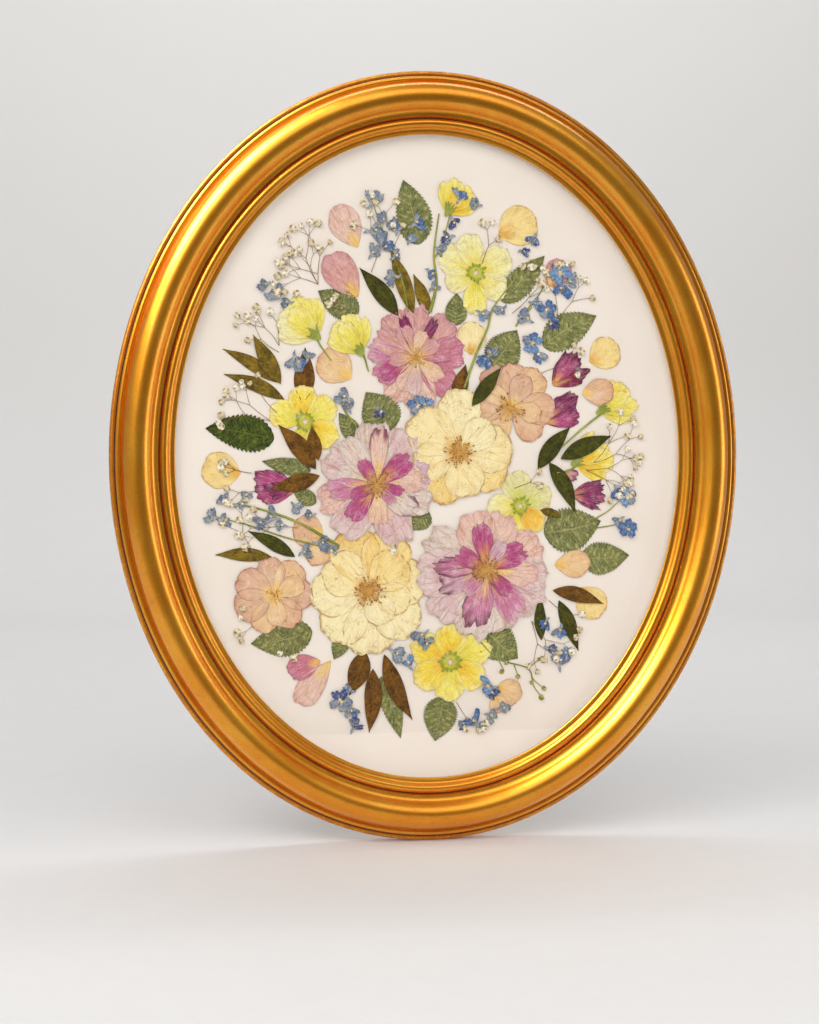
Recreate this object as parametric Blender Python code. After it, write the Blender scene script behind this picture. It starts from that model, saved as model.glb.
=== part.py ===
"""Oval gilded frame with a pressed flower bouquet under glass.

The frame hangs on a wall: +Z is up, the front looks along -Y, and the wall is the plane y = 0.
The origin is where the wall hook meets the teeth of the hanger, at the top of the back.
"""

import math

import bmesh
import bpy
from mathutils import Matrix, Vector

MM = 0.001

# Driving dimensions, millimetres.
SIGHT_A = 197.5          # half width of the sight opening
SIGHT_B = 247.5          # half height of the sight opening
HANG_RISE = 212.0        # height of the hanger's teeth above the middle of the oval
RABBET = 6.0             # how far the moulding's lip covers the glass
BACK_WIDTH = 45.0        # from the sight edge to the outside of the moulding's flat back
OUTER_WIDTH = 49.0       # from the sight edge to the outermost edge
LIP_UNDERSIDE = 14.3     # lip's underside above the wall plane
GAP = 0.3                # clearance between pieces that touch
SEGMENTS = 80            # facets around every oval

# The stack in the rabbet, as heights above the wall plane.
BACKING_FLOOR = 3.2
BACKING_THICK = 3.0
BOARD_FLOOR = BACKING_FLOOR + BACKING_THICK + GAP
BOARD_THICK = 1.5
BOARD_FACE = BOARD_FLOOR + BOARD_THICK
CAVITY = 4.0             # room for the flowers between the board and the glass
GLASS_FLOOR = BOARD_FACE + CAVITY
GLASS_THICK = 2.0
SPACER_SIGHT = 1.2       # how far the spacer stands back from the sight edge

# Pressed specimens.
SPECIMEN_THICK = 0.4
LAYER_PITCH = 0.75       # specimens that cross lie on different layers

# Framer's points, hanger and rivets.
POINT_COUNT = 6
POINT_WIDTH = 6.0
POINT_THICK = 0.5
POINT_REACH = 5.0        # length of a point that lies on the backing board
POINT_BITE = 5.0         # length of a point inside the wood
HANGER_HALF = 22.0
HANGER_HEIGHT = 11.0
HANGER_THICK = 0.8
HANGER_LIFT = 1.2        # how far the middle of the hanger stands off its ears
TEETH = 9
TOOTH_PITCH = 2.8
TOOTH_DEPTH = 1.6
RIVET_X = 18.6
RIVET_SHANK_R = 1.0
RIVET_HEAD_R = 2.4
RIVET_HEAD_THICK = 0.6

# Flat pressed flower heads: middle x, z, half width, half height, petals, notch depth, turn, layer.
FLOWER_HEADS = {
    "rose_pink_top": (-12, 77, 39, 40, 7, 0.16, 0.3, 1),
    "rose_lavender_left": (-43, -21, 47, 48, 8, 0.14, 0.1, 3),
    "rose_pink_right": (44, -87, 53, 52, 9, 0.15, 0.2, 4),
    "rose_cream_centre": (22, 4, 43, 46, 6, 0.12, 0.5, 2),
    "rose_cream_low": (-49, -102, 45, 49, 7, 0.11, 0.2, 2),
    "rose_peach_right": (66, 40, 32, 34, 6, 0.12, 0.6, 1),
    "rose_blush_left": (-122, -105, 30, 28, 6, 0.14, 0.0, 1),
    "lisianthus_cream": (35, 143, 26, 28, 4, 0.24, 0.8, 1),
    "lisianthus_yellow_left": (-98, 27, 27, 28, 4, 0.20, 0.7, 1),
    "lisianthus_green_right": (71, -38, 28, 26, 4, 0.28, 0.9, 1),
    "lisianthus_yellow_low": (15, -159, 33, 30, 5, 0.12, 0.3, 1),
}

# Single flat blades: x and z where each grows from, x and z of its far end, width, layer.
FOLDED_FLOWERS = {
    "bud_yellow_top": (12, 188, 30, 211, 34, 1),
    "bud_yellow_left": (-88, 92, -114, 117, 36, 1),
    "bud_yellow_middle": (-55, 80, -71, 110, 30, 1),
    "bud_yellow_right": (134, 36, 164, 51, 31, 1),
    "bud_yellow_low_right": (114, -5, 146, 6, 34, 0),
}
PETALS = {
    "petal_cream_top": (53, 172, 83, 187, 32, 0),
    "petal_cream_middle": (31, 79, 34, 105, 22, 2),
    "petal_cream_right": (126, 75, 151, 86, 26, 0),
    "petal_peach_left": (-62, 60, -87, 79, 27, 0),
    "petal_cream_left": (-147, -12, -177, -9, 28, 0),
    "petal_magenta_left": (-105, -25, -137, -18, 27, 0),
    "petal_pink_high": (-57, 160, -74, 192, 23, 0),
    "petal_pink_low": (-57, 122, -79, 156, 25, 1),
    "petal_pink_corner": (-78, -155, -103, -190, 18, 0),
    "petal_cream_low_right": (119, -102, 137, -124, 25, 0),
    "petal_burgundy": (96, 56, 123, 77, 25, 0),
    "petal_magenta_right": (90, 27, 121, 42, 26, 0),
}
LEAVES = {
    "leaf_rose_crown": (-10, 164, -22, 213, 24, 0),
    "leaf_rose_upper_right": (56, 121, 90, 157, 18, 0),
    "leaf_rose_right_inner": (48, 70, 68, 99, 25, 0),
    "leaf_rose_right_outer": (89, 87, 132, 111, 24, 0),
    "leaf_rose_upper_left": (-57, 110, -88, 127, 19, 0),
    "leaf_olive_upper": (-123, 59, -161, 82, 14, 1),
    "leaf_olive_top": (-116, 57, -138, 94, 16, 2),
    "leaf_olive_lower": (-115, 46, -161, 63, 14, 0),
    "leaf_dark_left": (-122, 10, -173, 22, 26, 0),
    "leaf_rose_inner_left": (-30, 22, -51, 50, 27, 0),
    "leaf_rose_lower_left": (-93, -133, -140, -142, 23, 0),
    "leaf_brown_left": (-44, -162, -50, -212, 17, 1),
    "leaf_brown_right": (-38, -153, -15, -203, 19, 1),
    "leaf_rose_bottom": (10, -186, 3, -220, 24, 0),
    "leaf_rose_lower_right": (41, -133, 69, -157, 27, 0),
    "leaf_rose_broad_right": (90, -59, 136, -50, 32, 0),
    "leaf_rose_far_right": (120, -79, 159, -77, 22, 0),
    "leaf_dark_right": (105, 1, 143, 17, 15, 1),
}

# Blade outlines: belly moves the widest place towards the far end, fullness rounds the ends.
FAN = (1.7, 0.62)
PETAL = (1.5, 0.60)
LEAF = (0.92, 0.95)
BLADE_STATIONS = 5
STATIONS_PER_LOBE = 4


def clear_scene():
    for item in list(bpy.data.objects):
        bpy.data.objects.remove(item, do_unlink=True)


def make_material(name, color, roughness, metallic=0.0, alpha=1.0):
    material = bpy.data.materials.new(name)
    material.use_nodes = True
    shader = material.node_tree.nodes["Principled BSDF"]
    shader.inputs["Base Color"].default_value = (*color, 1.0)
    shader.inputs["Roughness"].default_value = roughness
    shader.inputs["Metallic"].default_value = metallic
    shader.inputs["Alpha"].default_value = alpha
    return material


def add_object(name, bm, material, parent=None):
    """Turn a bmesh in metres into a named object."""
    bmesh.ops.recalc_face_normals(bm, faces=bm.faces)
    mesh = bpy.data.meshes.new(name)
    bm.to_mesh(mesh)
    bm.free()
    mesh.materials.append(material)
    item = bpy.data.objects.new(name, mesh)
    bpy.context.scene.collection.objects.link(item)
    item.parent = parent
    return item


def smooth(item, angle=35):
    item.data.shade_smooth()
    item.data.set_sharp_from_angle(angle=math.radians(angle))


def oval_point(turn, outward, height):
    """A point outward from the sight edge, measured square to that edge, above the wall plane."""
    x = SIGHT_A * math.cos(turn)
    z = SIGHT_B * math.sin(turn)
    normal = Vector((x / SIGHT_A**2, 0, z / SIGHT_B**2)).normalized()
    return (Vector((x, 0, z)) + outward * normal + Vector((0, -height, 0))) * MM


def sweep_ring(bm, profile):
    """Carry a closed profile of (outward, height) points once around the oval."""
    rings = []
    for step in range(SEGMENTS):
        turn = math.tau * step / SEGMENTS
        rings.append([bm.verts.new(oval_point(turn, u, h)) for u, h in profile])
    count = len(profile)
    for step, ring in enumerate(rings):
        following = rings[(step + 1) % SEGMENTS]
        for i in range(count):
            j = (i + 1) % count
            bm.faces.new((ring[i], ring[j], following[j], following[i]))


def oval_plate(bm, outward, floor, thick):
    """A flat oval board whose edge lies outward from the sight edge."""
    turns = [math.tau * step / SEGMENTS for step in range(SEGMENTS)]
    extrude_outline(bm, [oval_point(turn, outward, floor) for turn in turns], thick)


def extrude_outline(bm, points, thick):
    """Fill a flat outline and thicken it towards the front."""
    face = bm.faces.new([bm.verts.new(point) for point in points])
    made = bmesh.ops.extrude_face_region(bm, geom=[face])["geom"]
    front = [part for part in made if isinstance(part, bmesh.types.BMVert)]
    bmesh.ops.translate(bm, verts=front, vec=(0, -thick * MM, 0))


def arc(center, radii, start, end, steps):
    """Points on part of an ellipse in the profile's plane, angles in degrees."""
    angles = [math.radians(start + (end - start) * i / steps) for i in range(steps + 1)]
    return [(center[0] + radii[0] * math.cos(a), center[1] + radii[1] * math.sin(a)) for a in angles]


def moulding_profile():
    """Section of the moulding from the rabbet, over the front, to the outside of the back."""
    rabbet = [(RABBET, 0), (RABBET, LIP_UNDERSIDE), (0, LIP_UNDERSIDE)]
    sight_lip = [(0, 15.4), (1.8, 16.2), (5.0, 17.6)]
    bead = arc((8.2, 17.6), (3.2, 3.1), 150, 30, 3)
    inner_groove = [(11.4, 17.2), (12.4, 17.0)]
    shoulder = [(13.0, 20.2), (17.6, 22.0)]
    roll = arc((28.2, 17.5), (11.2, 12.0), 142, 6, 6)
    band = [(40.2, 17.2), (44.4, 15.4)]
    outer_groove = [(44.7, 12.8), (45.5, 12.8)]
    outer_lip = [(45.8, 14.2), (47.6, 13.8), (OUTER_WIDTH, 11.6), (OUTER_WIDTH, 6.5)]
    return rabbet + sight_lip + bead + inner_groove + shoulder + roll + band + outer_groove + outer_lip + [
        (BACK_WIDTH, 0)
    ]


def point_turns():
    """Places of the framer's points around the oval."""
    return [math.tau * (step + 0.5) / POINT_COUNT for step in range(POINT_COUNT)]


def point_placement(turn):
    """Frame of a framer's point: X outward, Y towards the back, Z along the oval."""
    foot = oval_point(turn, RABBET, 0)
    outward = (oval_point(turn, RABBET + 1, 0) - foot).normalized()
    back = Vector((0, 1, 0))
    along = outward.cross(back)
    turned = Matrix((outward, back, along)).transposed().to_4x4()
    return Matrix.Translation(foot) @ turned


def add_point_slot(turn, moulding, parent):
    """Cut the slot that a framer's point is driven into."""
    bm = bmesh.new()
    bmesh.ops.create_cube(bm, size=1.0)
    length = POINT_BITE + GAP + 1.0
    size = Vector((length, POINT_THICK + 2 * GAP, POINT_WIDTH + 2 * GAP)) * MM
    bmesh.ops.scale(bm, vec=size, verts=bm.verts)
    middle_height = BACKING_FLOOR - GAP - POINT_THICK / 2
    shift = Vector((length / 2 - 1.0, -middle_height, 0)) * MM
    bmesh.ops.translate(bm, vec=shift, verts=bm.verts)
    cutter = add_object("slot_cutter", bm, moulding.data.materials[0], parent)
    cutter.matrix_local = point_placement(turn)
    cutter.hide_render = True
    cutter.display_type = "WIRE"
    cut = moulding.modifiers.new("slot", "BOOLEAN")
    cut.operation = "DIFFERENCE"
    cut.solver = "EXACT"
    cut.object = cutter


def add_moulding(material, parent):
    bm = bmesh.new()
    sweep_ring(bm, moulding_profile())
    moulding = add_object("moulding", bm, material, parent)
    smooth(moulding)
    for turn in point_turns():
        add_point_slot(turn, moulding, parent)


def add_points(material, parent):
    """Flat steel points with a pointed tip in the wood."""
    back = -(BACKING_FLOOR - GAP - POINT_THICK)
    half = POINT_WIDTH / 2
    outline = [
        (-POINT_REACH, -half), (POINT_BITE - half, -half), (POINT_BITE, 0),
        (POINT_BITE - half, half), (-POINT_REACH, half),
    ]
    for number, turn in enumerate(point_turns(), start=1):
        bm = bmesh.new()
        extrude_outline(bm, [Vector((x, back, z)) * MM for x, z in outline], POINT_THICK)
        point = add_object(f"framer_point_{number}", bm, material, parent)
        point.matrix_local = point_placement(turn)


def hanger_columns():
    """Stations across the hanger: x, height of its lower edge, lift off the ears."""
    half_teeth = TEETH * TOOTH_PITCH / 2
    columns = [(-HANGER_HALF, 1.5, 0), (-half_teeth - 2.4, 1.5, 0), (-half_teeth - 0.8, 0, HANGER_LIFT)]
    for step in range(2 * TEETH + 1):
        lower = 0 if step % 2 else -TOOTH_DEPTH
        columns.append((-half_teeth + step * TOOTH_PITCH / 2, lower, HANGER_LIFT))
    columns += [(-x, lower, lift) for x, lower, lift in reversed(columns[:3])]
    return columns


def add_hanger(material):
    """Sawtooth strip: its ears lie on the backing board, its toothed middle stands off it."""
    bm = bmesh.new()
    ear_front = BACKING_FLOOR - GAP
    sections = []
    for x, lower, lift in hanger_columns():
        front = -(ear_front - lift)
        back = front + HANGER_THICK
        corners = [(front, lower), (front, HANGER_HEIGHT), (back, HANGER_HEIGHT), (back, lower)]
        sections.append([bm.verts.new(Vector((x, y, z)) * MM) for y, z in corners])
    for left, right in zip(sections, sections[1:]):
        for i in range(4):
            j = (i + 1) % 4
            bm.faces.new((left[i], left[j], right[j], right[i]))
    bm.faces.new(sections[0])
    bm.faces.new(sections[-1])
    hanger = add_object("sawtooth_hanger", bm, material)
    for side in (-1, 1):
        drill_for_rivet(hanger, side)


def drill_for_rivet(item, side):
    """Cut a rivet's hole through a plate."""
    bm = bmesh.new()
    bmesh.ops.create_cone(
        bm, cap_ends=True, segments=8, radius1=(RIVET_SHANK_R + GAP) * MM,
        radius2=(RIVET_SHANK_R + GAP) * MM, depth=20 * MM,
        matrix=Matrix.Translation(rivet_axis(side)) @ Matrix.Rotation(math.pi / 2, 4, "X"),
    )
    cutter = add_object("rivet_cutter", bm, item.data.materials[0])
    cutter.hide_render = True
    cutter.display_type = "WIRE"
    cut = item.modifiers.new("rivet hole", "BOOLEAN")
    cut.operation = "DIFFERENCE"
    cut.solver = "EXACT"
    cut.object = cutter


def rivet_axis(side):
    return Vector((side * RIVET_X, 0, HANGER_HEIGHT / 2 + 0.8)) * MM


def add_rivets(material):
    """Round rivets through the hanger's ears and the backing board."""
    head_front = BACKING_FLOOR - 2 * GAP - HANGER_THICK
    tip = BACKING_FLOOR + BACKING_THICK
    profile = [
        (0, head_front - RIVET_HEAD_THICK), (RIVET_HEAD_R * 0.7, head_front - RIVET_HEAD_THICK),
        (RIVET_HEAD_R, head_front - RIVET_HEAD_THICK / 2), (RIVET_HEAD_R, head_front),
        (RIVET_SHANK_R, head_front), (RIVET_SHANK_R, tip), (0, tip),
    ]
    for side, name in ((-1, "rivet_left"), (1, "rivet_right")):
        bm = bmesh.new()
        verts = [bm.verts.new(Vector((r, -h, 0)) * MM) for r, h in profile]
        edges = [bm.edges.new(pair) for pair in zip(verts, verts[1:])]
        bmesh.ops.spin(
            bm, geom=verts + edges, cent=(0, 0, 0), axis=(0, 1, 0), angle=math.tau, steps=10,
            use_merge=True,
        )
        bmesh.ops.remove_doubles(bm, verts=bm.verts, dist=1e-6)
        bmesh.ops.translate(bm, vec=rivet_axis(side), verts=bm.verts)
        add_object(name, bm, material)


def lobed_outline(half_width, half_height, lobes, notch, turn):
    """Outline of a flat flower head: one rounded lobe for each outer petal."""
    points = []
    count = lobes * STATIONS_PER_LOBE
    for step in range(count):
        angle = math.tau * step / count
        bulge = 1 - notch * (1 - abs(math.sin(lobes * angle / 2))) ** 1.5
        points.append(
            (half_width * bulge * math.cos(angle + turn), half_height * bulge * math.sin(angle + turn))
        )
    return points


def blade_outline(length, width, belly, fullness):
    """Outline of a leaf or petal from its foot at the origin to its tip along +X."""
    steps = [i / (BLADE_STATIONS + 1) for i in range(1, BLADE_STATIONS + 1)]
    side = [(t * length, width / 2 * math.sin(math.pi * t**belly) ** fullness) for t in steps]
    return [(0, 0)] + [(x, -z) for x, z in side] + [(length, 0)] + side[::-1]


def lay_on_board(name, outline, place, turn, layer, material, parent):
    """Thicken an outline and lay it on its layer above the board."""
    bm = bmesh.new()
    extrude_outline(bm, [Vector((x, 0, z)) * MM for x, z in outline], SPECIMEN_THICK)
    item = add_object(name, bm, material, parent)
    height = BOARD_FACE + GAP + layer * LAYER_PITCH
    item.location = Vector((place[0], -height, place[1])) * MM
    item.rotation_euler = (0, -turn, 0)
    return item


def add_flower_heads(materials, parent):
    for name, (x, z, half_width, half_height, lobes, notch, turn, layer) in FLOWER_HEADS.items():
        outline = lobed_outline(half_width, half_height, lobes, notch, turn)
        colour = "_".join(name.split("_")[:2])
        lay_on_board(name, outline, (x, z), 0, layer, materials[colour], parent)


def add_blades(table, form, materials, parent):
    for name, (x, z, far_x, far_z, width, layer) in table.items():
        length = math.hypot(far_x - x, far_z - z)
        turn = math.atan2(far_z - z, far_x - x)
        outline = blade_outline(length, width, *form)
        colour = "_".join(name.split("_")[:2])
        lay_on_board(name, outline, (x, z), turn, layer, materials[colour], parent)


def specimen_materials():
    """One material for each kind of petal or leaf, keyed by the first two words of a name."""
    colours = {
        "rose_pink": (0.62, 0.30, 0.42), "rose_lavender": (0.56, 0.38, 0.55),
        "rose_cream": (0.80, 0.68, 0.40), "rose_peach": (0.74, 0.48, 0.34),
        "rose_blush": (0.74, 0.47, 0.36), "lisianthus_cream": (0.82, 0.75, 0.45),
        "lisianthus_yellow": (0.84, 0.70, 0.16), "lisianthus_green": (0.70, 0.70, 0.33),
        "bud_yellow": (0.82, 0.68, 0.18), "petal_cream": (0.82, 0.68, 0.40),
        "petal_peach": (0.78, 0.52, 0.32), "petal_magenta": (0.42, 0.07, 0.24),
        "petal_pink": (0.66, 0.36, 0.42), "petal_burgundy": (0.30, 0.03, 0.10),
        "leaf_rose": (0.13, 0.18, 0.07), "leaf_olive": (0.14, 0.12, 0.03),
        "leaf_dark": (0.06, 0.09, 0.03), "leaf_brown": (0.14, 0.08, 0.03),
    }
    return {name: make_material(name, colour, 0.6) for name, colour in colours.items()}


def main():
    clear_scene()
    gilding = make_material("gilding", (0.72, 0.42, 0.09), 0.3, 0.9)
    glass_clear = make_material("glass_clear", (0.95, 0.97, 0.96), 0.02, alpha=0.2)
    board_white = make_material("board_white", (0.84, 0.80, 0.74), 0.8)
    spacer_white = make_material("spacer_white", (0.80, 0.78, 0.74), 0.6)
    hardboard = make_material("hardboard", (0.25, 0.15, 0.08), 0.7)
    steel = make_material("steel", (0.55, 0.56, 0.58), 0.35, 1.0)

    middle = bpy.data.objects.new("middle_of_oval", None)
    bpy.context.scene.collection.objects.link(middle)
    middle.location = (0, 0, -HANG_RISE * MM)

    add_moulding(gilding, middle)
    for name, floor, thick, material in (
        ("glass", GLASS_FLOOR, GLASS_THICK, glass_clear),
        ("mount_board", BOARD_FLOOR, BOARD_THICK, board_white),
        ("backing_board", BACKING_FLOOR, BACKING_THICK, hardboard),
    ):
        bm = bmesh.new()
        oval_plate(bm, RABBET - GAP, floor, thick)
        plate = add_object(name, bm, material, middle)
        if name == "backing_board":
            for side in (-1, 1):
                drill_for_rivet(plate, side)

    bm = bmesh.new()
    low = BOARD_FACE + GAP
    high = GLASS_FLOOR - GAP
    edge = RABBET - GAP
    sweep_ring(bm, [(SPACER_SIGHT, low), (edge, low), (edge, high), (SPACER_SIGHT, high)])
    add_object("glass_spacer", bm, spacer_white, middle)

    add_points(steel, middle)
    add_hanger(steel)
    add_rivets(steel)

    materials = specimen_materials()
    add_flower_heads(materials, middle)
    add_blades(FOLDED_FLOWERS, FAN, materials, middle)
    add_blades(PETALS, PETAL, materials, middle)
    add_blades(LEAVES, LEAF, materials, middle)


main()
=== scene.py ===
"""Looks of an oval gilded frame with a bouquet of pressed flowers behind its glass.

Board places are (x, z) in millimetres from the middle of the oval, as seen from the front; lift is
the height above the face of the mount board. Directions are in degrees, 0 to the right, 90 up.
"""

import math
import random

import bmesh
import bpy
from mathutils import Matrix, Quaternion, Vector, noise


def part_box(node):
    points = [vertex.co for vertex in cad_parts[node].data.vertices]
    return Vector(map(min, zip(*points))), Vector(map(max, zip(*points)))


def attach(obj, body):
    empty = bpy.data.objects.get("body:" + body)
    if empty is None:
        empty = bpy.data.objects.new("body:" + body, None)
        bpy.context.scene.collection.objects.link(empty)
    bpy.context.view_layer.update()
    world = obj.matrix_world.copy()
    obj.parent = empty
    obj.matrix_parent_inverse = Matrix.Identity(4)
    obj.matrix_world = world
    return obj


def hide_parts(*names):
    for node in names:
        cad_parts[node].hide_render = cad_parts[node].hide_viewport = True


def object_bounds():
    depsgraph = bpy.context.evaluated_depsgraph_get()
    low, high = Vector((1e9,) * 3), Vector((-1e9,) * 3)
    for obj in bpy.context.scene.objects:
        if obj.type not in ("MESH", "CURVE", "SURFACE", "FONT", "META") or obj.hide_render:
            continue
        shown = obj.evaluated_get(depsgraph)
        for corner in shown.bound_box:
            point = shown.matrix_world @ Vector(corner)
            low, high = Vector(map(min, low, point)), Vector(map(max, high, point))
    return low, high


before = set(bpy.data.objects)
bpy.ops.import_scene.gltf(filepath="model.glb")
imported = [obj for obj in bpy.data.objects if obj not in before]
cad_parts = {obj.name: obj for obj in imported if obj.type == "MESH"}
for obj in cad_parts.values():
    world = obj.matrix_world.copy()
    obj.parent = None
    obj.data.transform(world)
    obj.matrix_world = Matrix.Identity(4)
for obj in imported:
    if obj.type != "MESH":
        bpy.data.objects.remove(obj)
cad_low, cad_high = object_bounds()

MM = 0.001
BODY = "root"
OUTER_WIDTH = 49.0
RABBET = 6.0
BACK_WIDTH = 45.0
LIP_UNDERSIDE = 14.3

SHEET_THICK = 0.16
LEAF_THICK = 0.18
BLADE_THICK = 0.14
FLORET_THICK = 0.12
LOWEST_LIFT = 0.22       # no petal or leaf lies closer to the board
NOTCH_WIDTH = 0.16       # of half a petal
TWIG_STEP = 1.6
RING_STEPS = 360

MIDDLE = (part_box("moulding")[0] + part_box("moulding")[1]) / 2
SIGHT_A = (cad_high.x - cad_low.x) / 2 / MM - OUTER_WIDTH
SIGHT_B = (cad_high.z - cad_low.z) / 2 / MM - OUTER_WIDTH
BOARD_FACE = -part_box("mount_board")[0].y / MM

# ---------------------------------------------------------------- colours


def srgb(code):
    """Linear colour of a #rrggbb code."""
    parts = [int(code[i:i + 2], 16) / 255 for i in (1, 3, 5)]
    linear = [p / 12.92 if p <= 0.04045 else ((p + 0.055) / 1.055) ** 2.4 for p in parts]
    return Vector((*linear, 1.0))


# Petal colours: throat, body, rim. Drying turns these a little warmer.
WARMED = {
    "shell": ("#efc878", "#e2bfc0", "#dcb4ba"),
    "mist": ("#efd49a", "#dccad0", "#d4c6d2"),
    "lilac": ("#edcb90", "#d6b4c8", "#d6c2d2"),
    "heather": ("#e8bc84", "#c89cc0", "#d0b4cc"),
    "orchid": ("#ecc07c", "#c678ac", "#d0a2c4"),
    "magenta": ("#e6a868", "#b04088", "#b85c98"),
    "plum": ("#d88c70", "#8a2668", "#74205a"),
    "wine": ("#d49460", "#84204e", "#5c1238"),
    "dusty": ("#eec070", "#d29ca6", "#cc96aa"),
    "rosy": ("#ecb468", "#c8789a", "#c27aa2"),
    "cream": ("#e2ac4c", "#f1dfb6", "#ecdab0"),
    "ivory": ("#e6b858", "#f2e5c6", "#ece0bc"),
    "butter": ("#e2ae50", "#efd69c", "#e9ce92"),
    "ochre": ("#e2b45c", "#ebcc8c", "#e4c07c"),
    "peach": ("#ecc272", "#ddb49e", "#d4a594"),
    "apricot": ("#ecc070", "#e5c2a0", "#dab096"),
    "blush": ("#ecc878", "#d9b2a2", "#cfa298"),
    "lemon": ("#dcd040", "#f0e26c", "#eee6a0"),
    "sulphur": ("#ecbc1c", "#f1d84c", "#eee294"),
    "gold": ("#e2b038", "#f0c048", "#ead888"),
    "primrose": ("#ead85c", "#ede6ae", "#eae6c6"),
    "celadon": ("#d2d464", "#dedaaa", "#e2dcb4"),
    "pinkcream": ("#edc880", "#e6c2b4", "#deb4b2"),
}
AGEING = Vector((1.0, 0.98, 0.77, 1.0))
# Larkspur, crowns and sepals, in the same order, keep their colours.
FAST = {
    "sky": ("#b4b2b4", "#7694b8", "#5c80a8"),
    "cornflower": ("#9c9cae", "#5574a2", "#445f90"),
    "indigo": ("#88869c", "#4c5688", "#3a426c"),
    "slate": ("#bcb8ac", "#8c95a0", "#707c88"),
    "steel": ("#b4ae9c", "#7c8696", "#58647c"),
    "crown": ("#d2cc34", "#98a41e", "#708010"),
    "calyx": ("#a0a834", "#8c962c", "#707c22"),
}
PETAL_COLOURS = {name: [srgb(c) * AGEING for c in codes] for name, codes in WARMED.items()}
PETAL_COLOURS.update({name: [srgb(c) for c in codes] for name, codes in FAST.items()})
FRINGE = srgb("#6e0c4a")

# ---------------------------------------------------------------- materials


class NodeTree:
    """Adds nodes to a tree one by one."""

    family = ""

    def plug(self, socket, value):
        if isinstance(value, bpy.types.NodeSocket):
            self.tree.links.new(value, socket)
        else:
            socket.default_value = value

    def make(self, kind, inputs, output=0, **settings):
        node = self.tree.nodes.new(self.family + kind)
        for key, value in settings.items():
            setattr(node, key, value)
        for key, value in inputs.items():
            self.plug(node.inputs[key], value)
        return node.outputs[output]


class Finish(NodeTree):
    """A procedural material: each call adds one node and returns its output."""

    family = "ShaderNode"

    def __init__(self, name, **values):
        self.material = bpy.data.materials.new(name)
        self.material.use_nodes = True
        self.tree = self.material.node_tree
        self.shader = self.tree.nodes["Principled BSDF"]
        self.coat = self.relief = None
        for key, value in values.items():
            self.set(key.replace("_", " "), value)

    def set(self, name, value):
        self.plug(self.shader.inputs[name], value)

    def place(self, scale=(1, 1, 1)):
        """Object coordinates in millimetres, stretched by scale."""
        factor = tuple(1000 * s for s in scale)
        source = self.make("TexCoord", {}, "Object")
        return self.make("VectorMath", {0: source, 1: factor}, operation="MULTIPLY")

    def leaf_map(self, scale=(1, 1, 1)):
        source = self.make("UVMap", {}, uv_map="sheet")
        return self.make("VectorMath", {0: source, 1: scale}, operation="MULTIPLY")

    def split(self, vector):
        node = self.tree.nodes.new("ShaderNodeSeparateXYZ")
        self.plug(node.inputs[0], vector)
        return node.outputs

    def attribute(self, name, output="Fac"):
        return self.make("Attribute", {}, output, attribute_name=name)

    def math(self, operation, a, b=0.0, clamp=False):
        return self.make("Math", {0: a, 1: b}, operation=operation, use_clamp=clamp)

    def plus(self, a, b, clamp=False):
        return self.math("ADD", a, b, clamp)

    def minus(self, a, b):
        return self.math("SUBTRACT", a, b)

    def times(self, a, b, clamp=False):
        return self.math("MULTIPLY", a, b, clamp)

    def noise(self, vector, scale, detail=3.0, roughness=0.5, distortion=0.0):
        values = {"Vector": vector, "Scale": scale, "Detail": detail}
        values.update({"Roughness": roughness, "Distortion": distortion})
        return self.make("TexNoise", values, "Fac")

    def cells(self, vector, scale):
        """Distance to the nearest cell wall."""
        values = {"Vector": vector, "Scale": scale}
        return self.make("TexVoronoi", values, "Distance", feature="DISTANCE_TO_EDGE")

    def mix(self, factor, a, b, blend="MIX"):
        return self.make("Mix", {0: factor, 6: a, 7: b}, 2, data_type="RGBA", blend_type=blend)

    def span(self, value, low, high, to_low=0.0, to_high=1.0):
        """Smooth step from to_low at low to to_high at high."""
        values = {"Value": value, "From Min": low, "From Max": high}
        values.update({"To Min": to_low, "To Max": to_high})
        return self.make("MapRange", values, interpolation_type="SMOOTHSTEP")

    def band(self, value, start, end, soft):
        """1 between start and end, falling to 0 over soft on either side."""
        rise = self.span(value, start - soft, start)
        fall = self.span(value, end, end + soft, 1.0, 0.0)
        return self.times(rise, fall)

    def lay(self, mask, colour, blend="MIX"):
        """One more coat of colour, where the mask is 1."""
        self.coat = self.mix(mask, self.coat, colour, blend)

    def emboss(self, height, distance, strength):
        """One more relief over the last, distance millimetres high."""
        values = {"Height": height, "Distance": distance * MM, "Strength": strength}
        if self.relief:
            values["Normal"] = self.relief
        self.relief = self.make("Bump", values)

    def done(self):
        self.set("Base Color", self.coat)
        if self.relief:
            self.set("Normal", self.relief)
        return self.material


# Millimetres outwards from the sight edge: start, end and softness.
OUTER_LIP = (45.5, 60.0, 0.5)
RIDGES = ((39.1, 40.6, 0.4), (44.1, 44.7, 0.3), (12.7, 13.4, 0.3), (1.2, 4.6, 0.9))
GROOVES = ((11.75, 12.1, 0.2), (44.7, 45.2, 0.2))
GROOVE_SIDES = (10.9, 13.4, 0.9)
BARE_WOOD = (-2.0, -1.0)


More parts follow.
